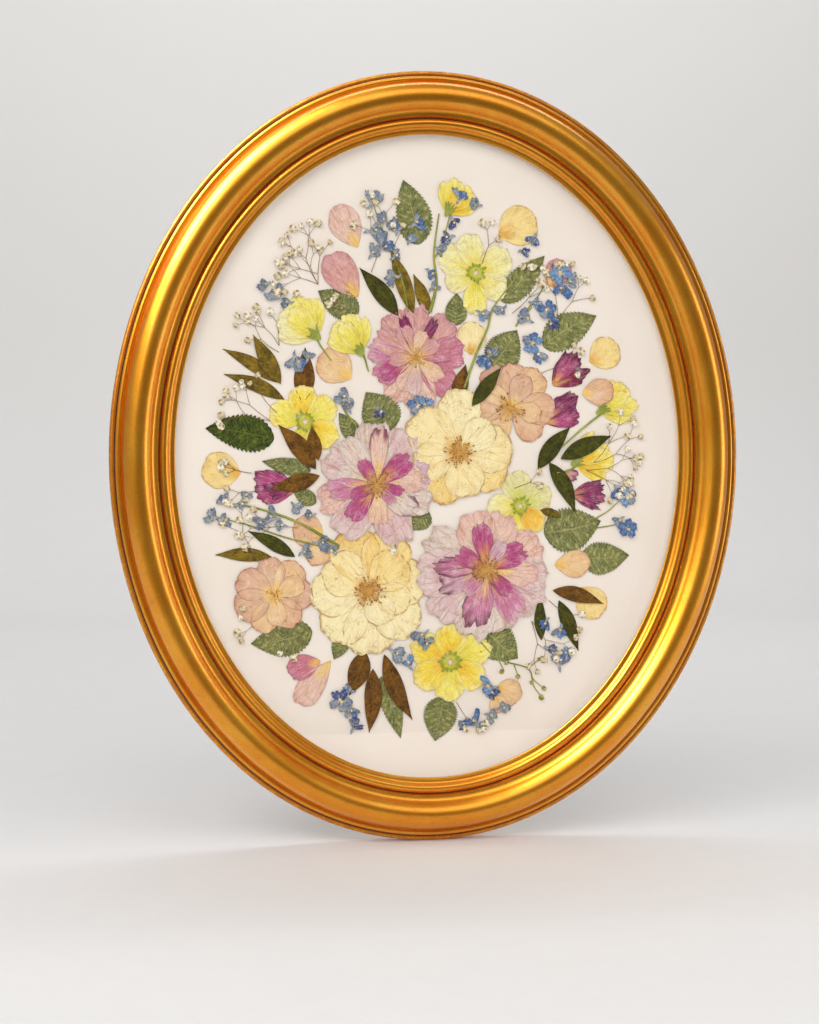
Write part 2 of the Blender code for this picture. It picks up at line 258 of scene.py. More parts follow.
def gold_leaf():
    """Burnished leaf over red clay: laps, brushed streaks, rubbed edges and dark grooves."""
    f = Finish("gold_leaf", Metallic=1.0, Coat_Weight=0.6, Coat_Roughness=0.2)
    across = f.attribute("across")
    slow = f.place((0.012, 0.012, 0.012))
    sx, sy, sz = f.split(slow)
    streaks = f.make("CombineXYZ", {"X": sx, "Y": across, "Z": sz})
    brushed = f.noise(streaks, 3.0, 5, 0.65)
    place = f.place()
    cloud = f.noise(place, 0.02, 4, 0.6)
    fine = f.noise(place, 0.8, 5, 0.75)
    f.coat = f.mix(f.span(cloud, 0.35, 0.65), srgb("#ef9a1e"), srgb("#f5aa2e"))
    f.lay(f.span(brushed, 0.42, 0.8, 0, 0.35), srgb("#dc8a1c"))
    patina = f.span(fine, 0.52, 0.72)
    f.lay(f.times(patina, 0.6), srgb("#b4620e"))
    # Laps of the leaf: faint seams across the moulding.
    seam = f.cells(f.place((0.03, 0.0, 0.03)), 1.0)
    f.lay(f.span(seam, 0.0, 0.008, 0.16, 0.0), srgb("#a86418"))
    # Clay shows where hands and dusters rub.
    rub_noise = f.noise(place, 0.18, 5, 0.7)
    ridge = f.band(across, *RIDGES[0])
    for station in RIDGES[1:]:
        ridge = f.plus(ridge, f.band(across, *station))
    edge = f.plus(f.times(f.band(across, *OUTER_LIP), 0.6), f.times(ridge, 0.12))
    rubbed = f.times(edge, f.span(rub_noise, 0.36, 0.6), True)
    f.lay(rubbed, srgb("#a0541c"))
    # Grooves keep dark wax, which also speckles their sides.
    inner, outer = (f.band(across, *groove) for groove in GROOVES)
    near = f.band(across, *GROOVE_SIDES)
    speckle = f.times(near, f.span(f.noise(place, 0.75, 3, 0.7), 0.56, 0.64))
    wax = f.plus(f.plus(inner, outer), f.times(speckle, 0.45), True)
    f.lay(wax, srgb("#3a1a0c"))
    # The back and the rabbet are bare wood.
    bare = f.span(across, *BARE_WOOD, 1.0, 0.0)
    grain = f.noise(f.place((0.02, 0.02, 0.4)), 1.0, 5, 0.6)
    wood = f.mix(f.span(grain, 0.35, 0.7), srgb("#c8a06c"), srgb("#a87c4c"))
    f.lay(bare, wood)
    dull = f.math("MAXIMUM", f.math("MAXIMUM", wax, f.times(rubbed, 0.6)), bare)
    f.set("Metallic", f.span(dull, 0.0, 1.0, 1.0, 0.0))
    rough = f.plus(f.span(brushed, 0.3, 0.75, 0.3, 0.38), f.times(patina, 0.12))
    f.set("Roughness", f.plus(rough, f.times(dull, 0.25), True))
    f.emboss(brushed, 0.02, 0.4)
    f.emboss(fine, 0.09, 0.7)
    f.emboss(f.times(speckle, -1.0), 0.15, 0.6)
    return f.done()


def picture_glass():
    """Clear pane that lets the lamps through to the flowers."""
    f = Finish("picture_glass", Roughness=0.0, IOR=1.45, Transmission_Weight=1.0,
               Specular_IOR_Level=0.08)
    f.coat = (0.985, 0.99, 0.985, 1.0)
    shadow = f.make("LightPath", {}, "Is Shadow Ray")
    lighting = f.math("MAXIMUM", shadow, shadow.node.outputs["Is Diffuse Ray"])
    clear = f.make("BsdfTransparent", {})
    blend = f.make("MixShader", {0: lighting, 1: f.shader.outputs[0], 2: clear})
    f.tree.links.new(blend, f.tree.nodes["Material Output"].inputs[0])
    return f.done()


def rag_board(name, light, dark):
    """Matt cotton board with a faint tooth and a few fibres."""
    f = Finish(name, Roughness=0.85, Specular_IOR_Level=0.25)
    place = f.place()
    tooth = f.noise(place, 1.6, 4, 0.7)
    cloud = f.noise(place, 0.012, 3, 0.5)
    fibre = f.noise(f.place((1.0, 1.0, 0.12)), 1.2, 3, 0.6, 1.5)
    f.coat = f.mix(f.span(cloud, 0.3, 0.7), srgb(light), srgb(dark))
    f.lay(f.span(fibre, 0.66, 0.8, 0.0, 0.25), srgb("#cfc2ae"))
    f.emboss(tooth, 0.05, 0.5)
    return f.done()


def hardboard():
    f = Finish("hardboard", Specular_IOR_Level=0.3)
    place = f.place()
    fibre = f.noise(f.place((1, 1, 0.3)), 0.9, 5, 0.75, 1.0)
    cloud = f.noise(place, 0.02, 3)
    f.coat = f.mix(f.span(fibre, 0.3, 0.7), srgb("#6e4a30"), srgb("#8f6844"))
    f.lay(f.span(cloud, 0.4, 0.7, 0, 0.4), srgb("#5e3d26"))
    f.set("Roughness", f.span(fibre, 0.2, 0.8, 0.5, 0.7))
    f.emboss(fibre, 0.12, 0.5)
    return f.done()


def zinc_steel():
    f = Finish("zinc_steel", Metallic=1.0)
    place = f.place()
    brushed = f.noise(f.place((0.1, 1, 2.0)), 1.5, 4, 0.6)
    spangle = f.noise(place, 0.4, 3)
    f.coat = f.mix(f.span(spangle, 0.35, 0.65), srgb("#b9bcc0"), srgb("#9ea2a8"))
    f.set("Roughness", f.span(brushed, 0.2, 0.8, 0.25, 0.45))
    f.emboss(brushed, 0.03, 0.4)
    return f.done()


def petal_tissue(name, crepe, streak, rim_browning_and_shadow, arcs=0.0):
    """Dried petal: its own tint, radial veins, mottling, creases and ring folds darkened with
    painted shade, and a rim that is partly dried and partly painted edge shadow.
    """
    f = Finish(name, Roughness=0.7, Specular_IOR_Level=0.18)
    place = f.place()
    tint = f.attribute("tint", "Color")
    along = f.split(f.leaf_map())[1]
    warp = f.noise(place, 0.12, 3)
    veins = f.noise(f.leaf_map((17, 1.6, 1)), 1.0, 4, 0.65, 0.5)
    fine = f.noise(f.leaf_map((48, 4.0, 1)), 1.0, 3, 0.65, 0.4)
    mottle = f.noise(place, 0.13, 4, 0.65)
    grain = f.noise(place, 1.3, 3, 0.6)
    crease = f.cells(f.leaf_map((6, 4.5, 1)), 1.0)
    creases = f.span(f.plus(crease, f.times(warp, 0.06)), 0.03, 0.085, 1.0, 0.0)
    deeper = f.mix(1.0, tint, srgb("#d2a888"), "MULTIPLY")
    darker = f.mix(1.0, tint, srgb("#b08468"), "MULTIPLY")
    lighter = f.mix(0.5, tint, srgb("#fff8ee"))
    f.coat = f.mix(f.span(veins, 0.48, 0.68, 0, streak), tint, deeper)
    f.lay(f.span(fine, 0.5, 0.68, 0, streak), lighter)
    f.lay(f.span(mottle, 0.52, 0.75, 0, 0.45), lighter)
    f.lay(f.span(mottle, 0.47, 0.25, 0, 0.45), deeper)
    # Painted shade: the petal is darkened along its creases, where the relief already falls into
    # shade.
    f.lay(f.times(creases, crepe * 0.6), darker)
    # Painted shade in the ring folds near the edge, which are also raised as relief.
    ring = f.plus(f.times(along, 13.0), f.times(warp, 7.0))
    ring = f.math("ABSOLUTE", f.minus(f.math("FRACT", ring), 0.5))
    folds = f.times(f.span(ring, 0.0, 0.12, 1.0, 0.0), f.span(warp, 0.5, 0.6))
    f.lay(f.times(folds, 0.7 * arcs), darker)
    # The dark rim is partly the dried edge and partly a painted outline of shadow at the petal's
    # edge.
    rim = f.times(f.span(along, 0.94, 1.0), f.span(f.noise(place, 0.25, 3), 0.35, 0.6))
    f.lay(f.times(rim, rim_browning_and_shadow), darker)
    f.emboss(veins, 0.35, 0.4 + 0.3 * streak)
    crumple = f.noise(f.leaf_map((13, 8, 1)), 1.0, 4, 0.7, 0.8)
    f.emboss(crumple, 0.8 * crepe + 0.1, 0.6)
    f.emboss(f.times(creases, -1.0), 0.5 * crepe, 0.6)
    f.emboss(folds, 0.3, 0.5 * arcs)
    f.emboss(grain, 0.04, 0.4)
    return f.done()


def leaf_tissue(name, dark, light, vein, side_veins, gloss, net):
    """Pressed leaf: midrib, puckered side veins, fine net between them and uneven drying, with
    painted light on the puckers and painted shade in the hollows and along the edge.
    """
    f = Finish(name, Specular_IOR_Level=0.12)
    place = f.place()
    across, along, _ = f.split(f.leaf_map())
    side = f.math("ABSOLUTE", f.minus(across, 0.5))
    tint = f.attribute("tint", "Color")
    mottle = f.noise(place, 0.12, 4, 0.65)
    speck = f.noise(place, 0.5, 4, 0.7)
    wave = f.minus(f.times(along, side_veins), f.times(side, 3.2))
    wave = f.plus(wave, f.times(f.noise(place, 0.15, 2), 0.5))
    tooth = f.math("ABSOLUTE", f.minus(f.math("FRACT", wave), 0.5))
    ribs = f.span(tooth, 0.0, 0.09, 1.0, 0.0)
    hollow = f.span(tooth, 0.08, 0.32, 1.0, 0.0)
    midrib = f.span(side, 0.0, 0.03, 1.0, 0.0)
    web = f.span(f.cells(place, 0.62), 0.0, 0.09, 1.0, 0.0)
    pucker = f.noise(f.leaf_map((5, 16, 1)), 1.0, 4, 0.65, 0.6)
    f.coat = f.mix(f.span(mottle, 0.36, 0.64), srgb(dark), srgb(light))
    f.lay(1.0, tint, "MULTIPLY")
    f.lay(f.span(speck, 0.5, 0.68, 0, 0.6), srgb(vein))
    f.lay(f.span(speck, 0.48, 0.34, 0, 0.6), srgb(dark))
    # Painted light and shade: the raised puckers are lightened and their hollows darkened,
    # following the same noise that raises them.
    f.lay(f.span(pucker, 0.5, 0.64, 0, 0.25 + 0.4 * net), srgb(vein))
    f.lay(f.span(pucker, 0.48, 0.36, 0, 0.35 + 0.4 * net), srgb(dark))
    # Painted shade in the hollows between the side veins.
    f.lay(f.times(hollow, 0.2 + 0.4 * net), srgb(dark))
    f.lay(f.times(web, net * 0.4), srgb(vein))
    f.lay(f.times(ribs, 0.15 + 0.5 * net), srgb(vein))
    f.lay(f.times(midrib, 0.65), srgb(vein))
    # Painted shade: a dark line along the leaf's edge stands in for the thin shadow that parts it
    # from the leaf beneath.
    f.lay(f.span(side, 0.44, 0.5, 0, 0.7), srgb(dark))
    f.set("Roughness", f.span(speck, 0.3, 0.7, gloss, gloss + 0.18))
    f.emboss(f.minus(f.plus(ribs, midrib), hollow), 0.45, 0.3 + 0.6 * net)
    f.emboss(web, 0.15, 0.5 * net + 0.05)
    f.emboss(pucker, 0.9, 0.25 + 0.6 * net)
    f.emboss(speck, 0.35, 0.3 + 0.3 * net)
    return f.done()


def floret_tissue(name, painted_ridge_light, shade):
    """Small crumpled petals: their own tint, with painted highlights on the ridges and painted
    shade in the creases of the crumple.
    """
    f = Finish(name, Roughness=0.7, Specular_IOR_Level=0.12)
    place = f.place()
    tint = f.attribute("tint", "Color")
    crumple = f.noise(place, 0.55, 4, 0.7, 0.6)
    fine = f.noise(place, 2.2, 3, 0.6)
    # Painted light and shade: the raised crumples are lightened and the creases darkened,
    # following the noise that also raises them.
    f.coat = f.mix(f.span(crumple, 0.52, 0.7, 0, 0.6), tint, srgb(painted_ridge_light))
    shaded = f.mix(1.0, tint, srgb(shade), "MULTIPLY")
    f.lay(f.span(crumple, 0.48, 0.34, 0, 0.8), shaded)
    f.emboss(crumple, 0.4, 0.6)
    f.emboss(fine, 0.1, 0.4)
    return f.done()


def stalk_skin(name, light, dark):
    f = Finish(name, Roughness=0.6, Specular_IOR_Level=0.3)
    place = f.place()
    patches = f.noise(place, 0.06, 3)
    ridges = f.noise(f.place((2.0, 2.0, 0.4)), 1.0, 3)
    f.coat = f.mix(f.span(patches, 0.35, 0.65), srgb(light), srgb(dark))
    f.lay(f.span(ridges, 0.5, 0.8, 0, 0.35), srgb("#e0d6a6"))
    f.emboss(ridges, 0.1, 0.4)
    return f.done()


def anther_dust():
    f = Finish("anther_dust", Roughness=0.8, Specular_IOR_Level=0.2)
    place = f.place()
    grains = f.noise(place, 1.1, 4, 0.7)
    tint = f.attribute("tint", "Color")
    f.coat = f.mix(f.span(grains, 0.4, 0.7, 0, 0.6), tint, srgb("#d8a456"))
    f.emboss(grains, 0.25, 0.6)
    return f.done()


MATERIALS = {
    "gold": gold_leaf(),
    "glass": picture_glass(),
    "board": rag_board("mount_rag_board", "#ece1d6", "#e7dbce"),
    "spacer": rag_board("spacer_strip", "#e8e2d6", "#ddd6c8"),
    "hardboard": hardboard(),
    "steel": zinc_steel(),
    "crepe": petal_tissue("crinkled_rose_petal", 0.45, 0.55, 0.35, 0.6),
    "smooth": petal_tissue("smooth_rose_petal", 0.1, 0.3, 0.85, 1.0),
    "silk": petal_tissue("bell_petal", 0.35, 0.4, 0.5, 0.5),
    "sepal": petal_tissue("green_sepal", 0.2, 0.5, 0.3),
    "rose_leaf": leaf_tissue("rose_leaf", "#566030", "#989654", "#b8b278", 8, 0.66, 0.9),
    "deep_leaf": leaf_tissue("deep_rose_leaf", "#182404", "#4a5c16", "#74802c", 9, 0.6, 1.0),
    "dark_leaf": leaf_tissue("dark_leaf", "#2a2c00", "#4c4c00", "#666010", 9, 0.45, 0.2),
    "olive_leaf": leaf_tissue("olive_leaf", "#504000", "#8e7018", "#9c8028", 8, 0.45, 0.1),
    "brown_leaf": leaf_tissue("brown_leaf", "#482a00", "#805210", "#90661c", 8, 0.45, 0.1),
    "floret": floret_tissue("delphinium_petal", "#dcd4c4", "#7a7484"),
    "breath": floret_tissue("gypsophila_petal", "#f4ead2", "#b49c70"),
    "green_stalk": stalk_skin("green_stalk", "#9c9e40", "#767e2c"),
    "brown_twig": stalk_skin("brown_twig", "#8c6c3c", "#644824"),
    "anther": anther_dust(),
}

# ---------------------------------------------------------------- meshes


def on_board(x, z, lift):
    return Vector((x * MM, -(BOARD_FACE + lift) * MM, MIDDLE.z + z * MM))


def aim(degrees):
    """Unit direction on the board."""
    return Vector((math.cos(math.radians(degrees)), math.sin(math.radians(degrees))))


def heading_of(out):
    return math.degrees(math.atan2(out.y, out.x))


class Sheet:
    """Thin pieces joined in one mesh, each point with a UV place and a tint."""

    def __init__(self):
        self.points = []
        self.faces = []
        self.places = []
        self.tints = []
        self.count = 0

    def grid(self, columns, rows, sample):
        """Add a grid whose sample(i, j) gives point, place and tint for i and j from 0 to 1."""
        start = len(self.points)
        for j in range(rows + 1):
            for i in range(columns + 1):
                point, place, tint = sample(i / columns, j / rows)
                self.points.append(point)
                self.places.append(place)
                self.tints.append(tint)
        width = columns + 1
        for j in range(rows):
            for i in range(columns):
                first = start + j * width + i
                self.faces.append((first, first + width, first + width + 1, first + 1))
        self.count += 1

    def mesh(self, name):
        mesh = bpy.data.meshes.new(name)
        mesh.from_pydata(self.points, [], self.faces)
        layer = mesh.uv_layers.new(name="sheet")
        for loop in mesh.loops:
            layer.data[loop.index].uv = self.places[loop.vertex_index]
        tint = mesh.color_attributes.new("tint", "FLOAT_COLOR", "POINT")
        tint.data.foreach_set("color", [c for t in self.tints for c in t])
        mesh.update()
        return mesh


def settled(piece):
    """Give a piece its evaluated shape as a plain mesh and take its modifiers off."""
    graph = bpy.context.evaluated_depsgraph_get()
    mesh = bpy.data.meshes.new_from_object(
        piece.evaluated_get(graph), preserve_all_data_layers=True, depsgraph=graph
    )
    mesh.name = piece.name
    piece.modifiers.clear()
    piece.data = mesh
    return piece


def add_piece(name, mesh):
    piece = bpy.data.objects.new(name, mesh)
    bpy.context.scene.collection.objects.link(piece)
    return piece


def hidden_shape(name, mesh):
    """A shape that trees copy or sweep, and that doesn't show itself."""
    shape = add_piece(name, mesh)
    shape.hide_render = True
    return shape


def hand_over(piece, slot, *nodes):
    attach(piece, BODY)
    if nodes:
        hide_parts(*nodes)


def finish_sheet(name, sheet, material, slot, nodes=(), thickness=SHEET_THICK):
    """Thicken a sheet, give it its material and hand it over."""
    piece = add_piece(name, sheet.mesh(name))
    shell = piece.modifiers.new("thickness", "SOLIDIFY")
    shell.thickness = thickness * MM
    shell.offset = -1.0
    settled(piece)
    piece.data.materials.clear()
    piece.data.materials.append(MATERIALS[material])
    piece.data.shade_smooth()
    piece.data.set_sharp_from_angle(angle=math.radians(60))
    hand_over(piece, slot, *nodes)


def wave(x, z, size, seed=0.0):
    """Smooth unevenness between about -1 and 1, shared by neighbours."""
    return noise.noise(Vector((x / size, z / size, seed)))


def smooth_step(value, low, high):
    t = min(max((value - low) / (high - low), 0.0), 1.0)
    return t * t * (3 - 2 * t)


def petal_tint(colours, along, jitter, throat=0.34):
    """Throat, body and rim colours along a petal; jitter shifts the joins."""
    base, body, rim = colours
    tint = base.lerp(body, smooth_step(along + jitter, throat * 0.35, throat * 1.5))
    return tint.lerp(rim, smooth_step(along + jitter, 0.72, 1.02))


def add_petal(sheet, x, z, heading, length, spread, colour, lift, **shape):
    """One petal growing from (x, z). spread is its angle at the foot in degrees.

    fullness rounds its sides, ripple and notch cut its edge, rise lifts its rim, crumple is the
    height of its own folds, fringe darkens its tip, and start is how far out its foot is cut off.
    """
    fullness = shape.get("fullness", 0.42)
    ripple = shape.get("ripple", 0.05)
    notch = shape.get("notch", 0.05)
    rise = shape.get("rise", 0.35)
    crumple = shape.get("crumple", 0.12)
    fringe = shape.get("fringe", 0.0)
    throat = shape.get("throat", 0.34)
    start = shape.get("start", 0.02)
    columns, rows = shape.get("detail", (26, 16))
    colours = PETAL_COLOURS[colour]
    seed = sheet.count * 3.7 + x * 0.13 + z * 0.07
    half = math.radians(spread) / 2

    def sample(i, j):
        t = i * 2 - 1
        along = start + (1 - start) * j
        edge = math.cos(t * math.pi / 2 * 0.985) ** fullness
        edge *= 1 + ripple * noise.noise(Vector((t * 3.1, seed, 0.0)))
        edge *= 1 + 0.6 * ripple * noise.noise(Vector((t * 9.0, seed, 4.0)))
        edge *= 1 + 0.4 * ripple * noise.noise(Vector((t * 21.0, seed, 6.0)))
        edge *= 1 - notch * math.exp(-((t / NOTCH_WIDTH) ** 2))
        bend = math.radians(6) * noise.noise(Vector((seed, along * 1.5, 8.0)))
        angle = math.radians(heading) + t * half + bend * along
        reach = length * edge * along
        px = x + reach * math.cos(angle)
        pz = z + reach * math.sin(angle)
        folds = noise.noise(Vector((t * 5.0, along * 2.2, seed)))
        folds += 0.5 * noise.noise(Vector((t * 12.0, along * 5.0, seed)))
        height = lift + rise * along**3 + crumple * folds * (0.35 + along)
        height += 0.12 * wave(px, pz, 14)
        jitter = 0.14 * noise.noise(Vector((t * 4.0, along * 3.0, seed + 5)))
        tint = petal_tint(colours, along, jitter, throat)
        if fringe:
            dark = smooth_step(along + 2.2 * jitter, 1 - fringe, 1.02)
            tint = tint.lerp(FRINGE, 0.85 * dark)
        return on_board(px, pz, max(height, LOWEST_LIFT)), (sheet.count * 3 + i, along), tint

    sheet.grid(columns, rows, sample)


def add_leaf(sheet, foot, tip, width, lift, teeth=0, tapers=(0.6, 0.75), tint=(1, 1, 1), bow=0.0):
    """One leaf from its foot to its tip, with saw teeth or a smooth edge."""
    foot_taper, tip_taper = tapers
    widest = foot_taper / (foot_taper + tip_taper)
    peak = widest**foot_taper * (1 - widest) ** tip_taper
    foot, tip = Vector(foot), Vector(tip)
    length = (tip - foot).length
    out = (tip - foot) / length
    left = Vector((-out.y, out.x))
    rows = max(24, teeth * 5)
    seed = foot.x * 0.11 + foot.y * 0.07
    colour = Vector((*tint, 1.0))

    def sample(i, j):
        across = i * 2 - 1
        half = width / 2 * (j**foot_taper * (1 - j) ** tip_taper) / peak
        half = max(half, 0.02)
        if teeth:
            half *= 1 + 0.2 * (0.5 - (j * teeth + 0.3 * (across > 0)) % 1.0) * (abs(across) ** 6)
        half *= 1 + 0.05 * noise.noise(Vector((j * 4, seed + (across > 0) * 9, 2.0)))
        spine = bow * length * math.sin(math.pi * j)
        place = foot + out * (j * length) + left * (across * half + spine)
        height = lift + 0.35 * abs(across) ** 1.5 + 0.30 * wave(place.x, place.y, 11, 2.0)
        height += 0.16 * noise.noise(Vector((across * 2.5, j * 9.0, seed)))
        height += 0.14 * noise.noise(Vector((across * 7.0, j * 22.0, seed)))
        shade = 1 + 0.12 * noise.noise(Vector((across * 1.5, j * 3.0, seed + 7)))
        return on_board(place.x, place.y, max(height, LOWEST_LIFT)), (i, j), colour * shade

    sheet.grid(14, rows, sample)


# ---------------------------------------------------------------- geometry node trees


class Maker(NodeTree):
    """A Geometry Nodes tree with named inputs."""

    KINDS = {
        float: "NodeSocketFloat", int: "NodeSocketInt", "object": "NodeSocketObject",
        "material": "NodeSocketMaterial",
    }

    def __init__(self, name, **inputs):
        self.tree = bpy.data.node_groups.new(name, "GeometryNodeTree")
        face = self.tree.interface
        face.new_socket("Geometry", in_out="INPUT", socket_type="NodeSocketGeometry")
        face.new_socket("Geometry", in_out="OUTPUT", socket_type="NodeSocketGeometry")
        self.names = {}
        for key, kind in inputs.items():
            socket = face.new_socket(
                key.replace("_", " "), in_out="INPUT", socket_type=self.KINDS[kind]
            )
            self.names[key] = socket.identifier
        self.entry = self.tree.nodes.new("NodeGroupInput")
        self.exit = self.tree.nodes.new("NodeGroupOutput")

    def given(self, key="Geometry"):
        return self.entry.outputs[key.replace("_", " ")]

    def math(self, operation, a, b=0.0):
        return self.make("ShaderNodeMath", {0: a, 1: b}, operation=operation)

    def finish(self, geometry, material):
        solid = self.make("GeometryNodeRealizeInstances", {"Geometry": geometry})
        painted = self.make("GeometryNodeSetMaterial", {"Geometry": solid, "Material": material})
        self.tree.links.new(painted, self.exit.inputs[0])

    def run(self, piece, **values):
        """Shape a piece with this tree and leave it as a plain mesh."""
        modifier = piece.modifiers.new(self.tree.name, "NODES")
        modifier.node_group = self.tree
        for key, value in values.items():
            modifier[self.names[key]] = value
        return settled(piece)


def sweep_maker():
    """Carries a profile around an oval."""
    m = Maker("oval_sweep", Half_Width=float, Half_Height=float, Segments=int, Profile="object",
              Material="material")
    circle = m.make("GeometryNodeCurvePrimitiveCircle",
                    {"Resolution": m.given("Segments"), "Radius": 1.0})
    position = m.make("GeometryNodeInputPosition", {})
    halves = {"X": m.given("Half_Width"), "Y": m.given("Half_Height")}
    sizes = m.make("ShaderNodeCombineXYZ", halves)
    scaled = m.make("ShaderNodeVectorMath", {0: position, 1: sizes}, operation="MULTIPLY")
    oval = m.make("GeometryNodeSetPosition", {"Geometry": circle, "Position": scaled})
    upright = m.make("GeometryNodeSetCurveNormal", {"Curve": oval}, mode="Z_UP")
    info = m.make("GeometryNodeObjectInfo", {"Object": m.given("Profile")}, "Geometry")
    profile = m.make("GeometryNodeMeshToCurve", {"Mesh": info})
    ring = m.make("GeometryNodeCurveToMesh", {"Curve": upright, "Profile Curve": profile})
    stood = m.make("GeometryNodeTransform", {"Geometry": ring, "Rotation": (-math.pi / 2, 0, 0)})
    m.finish(stood, m.given("Material"))
    return m


def twig_maker():
    """Turns lines into round twigs with soft bends."""
    m = Maker("twigs", Radius=float, Sides=int, Step=float, Material="material")
    lines = m.make("GeometryNodeMeshToCurve", {"Mesh": m.given()})
    soft = m.make("GeometryNodeCurveSplineType", {"Curve": lines}, spline_type="CATMULL_ROM")
    even = m.make("GeometryNodeResampleCurve", {"Curve": soft, "Length": m.given("Step")},
                  mode="LENGTH")
    gauge = m.make("GeometryNodeInputNamedAttribute", {"Name": "gauge"}, data_type="FLOAT")
    width = m.math("MULTIPLY", gauge, m.given("Radius"))
    ring = m.make("GeometryNodeCurvePrimitiveCircle",
                  {"Resolution": m.given("Sides"), "Radius": 1.0})
    tube = m.make("GeometryNodeCurveToMesh", {"Curve": even, "Profile Curve": ring, "Scale": width,
                                              "Fill Caps": True})
    m.finish(tube, m.given("Material"))
    return m


def scatter_maker():
    """Sets a small shape on every point, each turned and sized at random."""
    m = Maker("scattered", Shape="object", Small=float, Large=float, Tilt=float, Seed=int,
              Material="material")
    shape = m.make("GeometryNodeObjectInfo", {"Object": m.given("Shape")}, "Geometry")
    tilt = m.given("Tilt")
    back = m.math("MULTIPLY", tilt, -1.0)
    low = m.make("ShaderNodeCombineXYZ", {"X": back, "Y": 0.0, "Z": back})
    high = m.make("ShaderNodeCombineXYZ", {"X": tilt, "Y": math.tau, "Z": tilt})
    turn = m.make("FunctionNodeRandomValue", {"Min": low, "Max": high, "Seed": m.given("Seed")},
                  data_type="FLOAT_VECTOR")
    size = m.make("FunctionNodeRandomValue", {}, 1, data_type="FLOAT")
    for index, key in ((2, "Small"), (3, "Large")):
        m.tree.links.new(m.given(key), size.node.inputs[index])
    m.tree.links.new(m.given("Seed"), size.node.inputs["Seed"])
    placed = m.make("GeometryNodeInstanceOnPoints",
                    {"Points": m.given(), "Instance": shape, "Rotation": turn, "Scale": size})
    m.finish(placed, m.given("Material"))
    return m


SWEEP = sweep_maker()
TWIGS = twig_maker()
SCATTER = scatter_maker()

# ---------------------------------------------------------------- frame


def arc(center, radii, start, end, steps):
    angles = [math.radians(start + (end - start) * i / steps) for i in range(steps + 1)]
    (x, y), (wide, high) = center, radii
    return [(x + wide * math.cos(a), y + high * math.sin(a)) for a in angles]


def gilded_section():
    """Front of the moulding from the sight edge outwards, as (outward, height above the wall)."""
    lip = [(0.0, LIP_UNDERSIDE), (0.0, 15.2)] + arc((0.9, 15.3), (0.9, 0.8), 180, 70, 4)
    cove = [(2.4, 15.95), (3.6, 16.3), (4.6, 17.0)]
    bead = arc((8.2, 17.5), (3.2, 3.1), 172, 22, 9)
    groove = [(11.3, 17.9), (11.7, 17.5), (12.1, 17.5), (12.5, 18.1)]
    shoulder = [(12.75, 19.6), (13.1, 20.1), (14.8, 20.35), (16.4, 21.0), (17.7, 21.9)]
    roll = arc((28.2, 17.5), (11.2, 11.9), 150, 8, 24)
    seam = [(39.45, 17.7), (39.75, 17.25), (40.1, 17.3)]
    band = arc((42.3, 15.4), (2.3, 2.0), 140, 30, 5)
    outer_groove = [(44.5, 15.0), (44.7, 13.1), (45.4, 13.0), (45.6, 13.7)]
    outer_lip = arc((46.7, 11.6), (2.25, 2.5), 118, 0, 7) + [(48.97, 6.5), (45.2, 0.3)]
    return lip + cove + bead + groove + shoulder + roll + seam + band + outer_groove + outer_lip


def profile_object(name, points, marks):
    """Closed profile as a wire, with each point's distance from the sight edge stored."""
    count = len(points)
    mesh = bpy.data.meshes.new(name)
    edges = [(i, (i + 1) % count) for i in range(count)]
    mesh.from_pydata([(u * MM, h * MM, 0) for u, h in points], edges, [])
    across = mesh.attributes.new("across", "FLOAT", "POINT")
    across.data.foreach_set("value", marks)
    return hidden_shape(name, mesh)


def turn_outwards(mesh):
    shape = bmesh.new()
    shape.from_mesh(mesh)
    bmesh.ops.remove_doubles(shape, verts=shape.verts, dist=1e-6)
    bmesh.ops.recalc_face_normals(shape, faces=shape.faces)
    shape.to_mesh(mesh)
    shape.free()


def add_moulding():
    front = gilded_section()
    back = [(BACK_WIDTH, 0.01), (RABBET, 0.01), (RABBET, LIP_UNDERSIDE)]
    marks = [u for u, _ in front] + [-10.0] * len(back)
    wire = profile_object("moulding_section", front + back, marks)
    ring = add_piece("gilded_moulding", bpy.data.meshes.new("gilded_moulding"))
    SWEEP.run(ring, Half_Width=SIGHT_A * MM, Half_Height=SIGHT_B * MM, Segments=RING_STEPS,
              Profile=wire, Material=MATERIALS["gold"])
    ring.data.transform(Matrix.Translation(Vector((0, 0, MIDDLE.z))))
    bpy.data.objects.remove(wire)
    turn_outwards(ring.data)
    ring.data.shade_smooth()
    ring.data.set_sharp_from_angle(angle=math.radians(38))
    hand_over(ring, "gilded_wood", "moulding")


def paint_nodes():
    """Finishes for the pieces whose solids keep their shape."""
    finishes = {"glass": "glass", "mount_board": "board", "glass_spacer": "spacer",
                "backing_board": "hardboard"}
    for name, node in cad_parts.items():
        if name.startswith(("framer_point", "rivet", "sawtooth")):
            finishes[name] = "steel"
        if name in finishes:
            node.data.materials.clear()
            node.data.materials.append(MATERIALS[finishes[name]])


# ---------------------------------------------------------------- flower parts


def line_mesh(name, lines, gauges):
    """Polylines as one wire mesh, each with its radius at foot and tip in millimetres."""
    points, edges, sizes = [], [], []
    for line, (foot, tip) in zip(lines, gauges):
        start, last = len(points), len(line) - 1
        points += line
        sizes += [foot + (tip - foot) * i / last for i in range(len(line))]
        edges += [(start + i, start + i + 1) for i in range(last)]
    mesh = bpy.data.meshes.new(name)
    mesh.from_pydata(points, edges, [])
    gauge = mesh.attributes.new("gauge", "FLOAT", "POINT")
    gauge.data.foreach_set("value", sizes)
    return mesh


def add_twigs(name, lines, gauges, sides, material):
    piece = add_piece(name, line_mesh(name, lines, gauges))
    TWIGS.run(piece, Radius=MM, Sides=sides, Step=TWIG_STEP * MM, Material=MATERIALS[material])
    piece.data.shade_smooth()
    hand_over(piece, "stems")


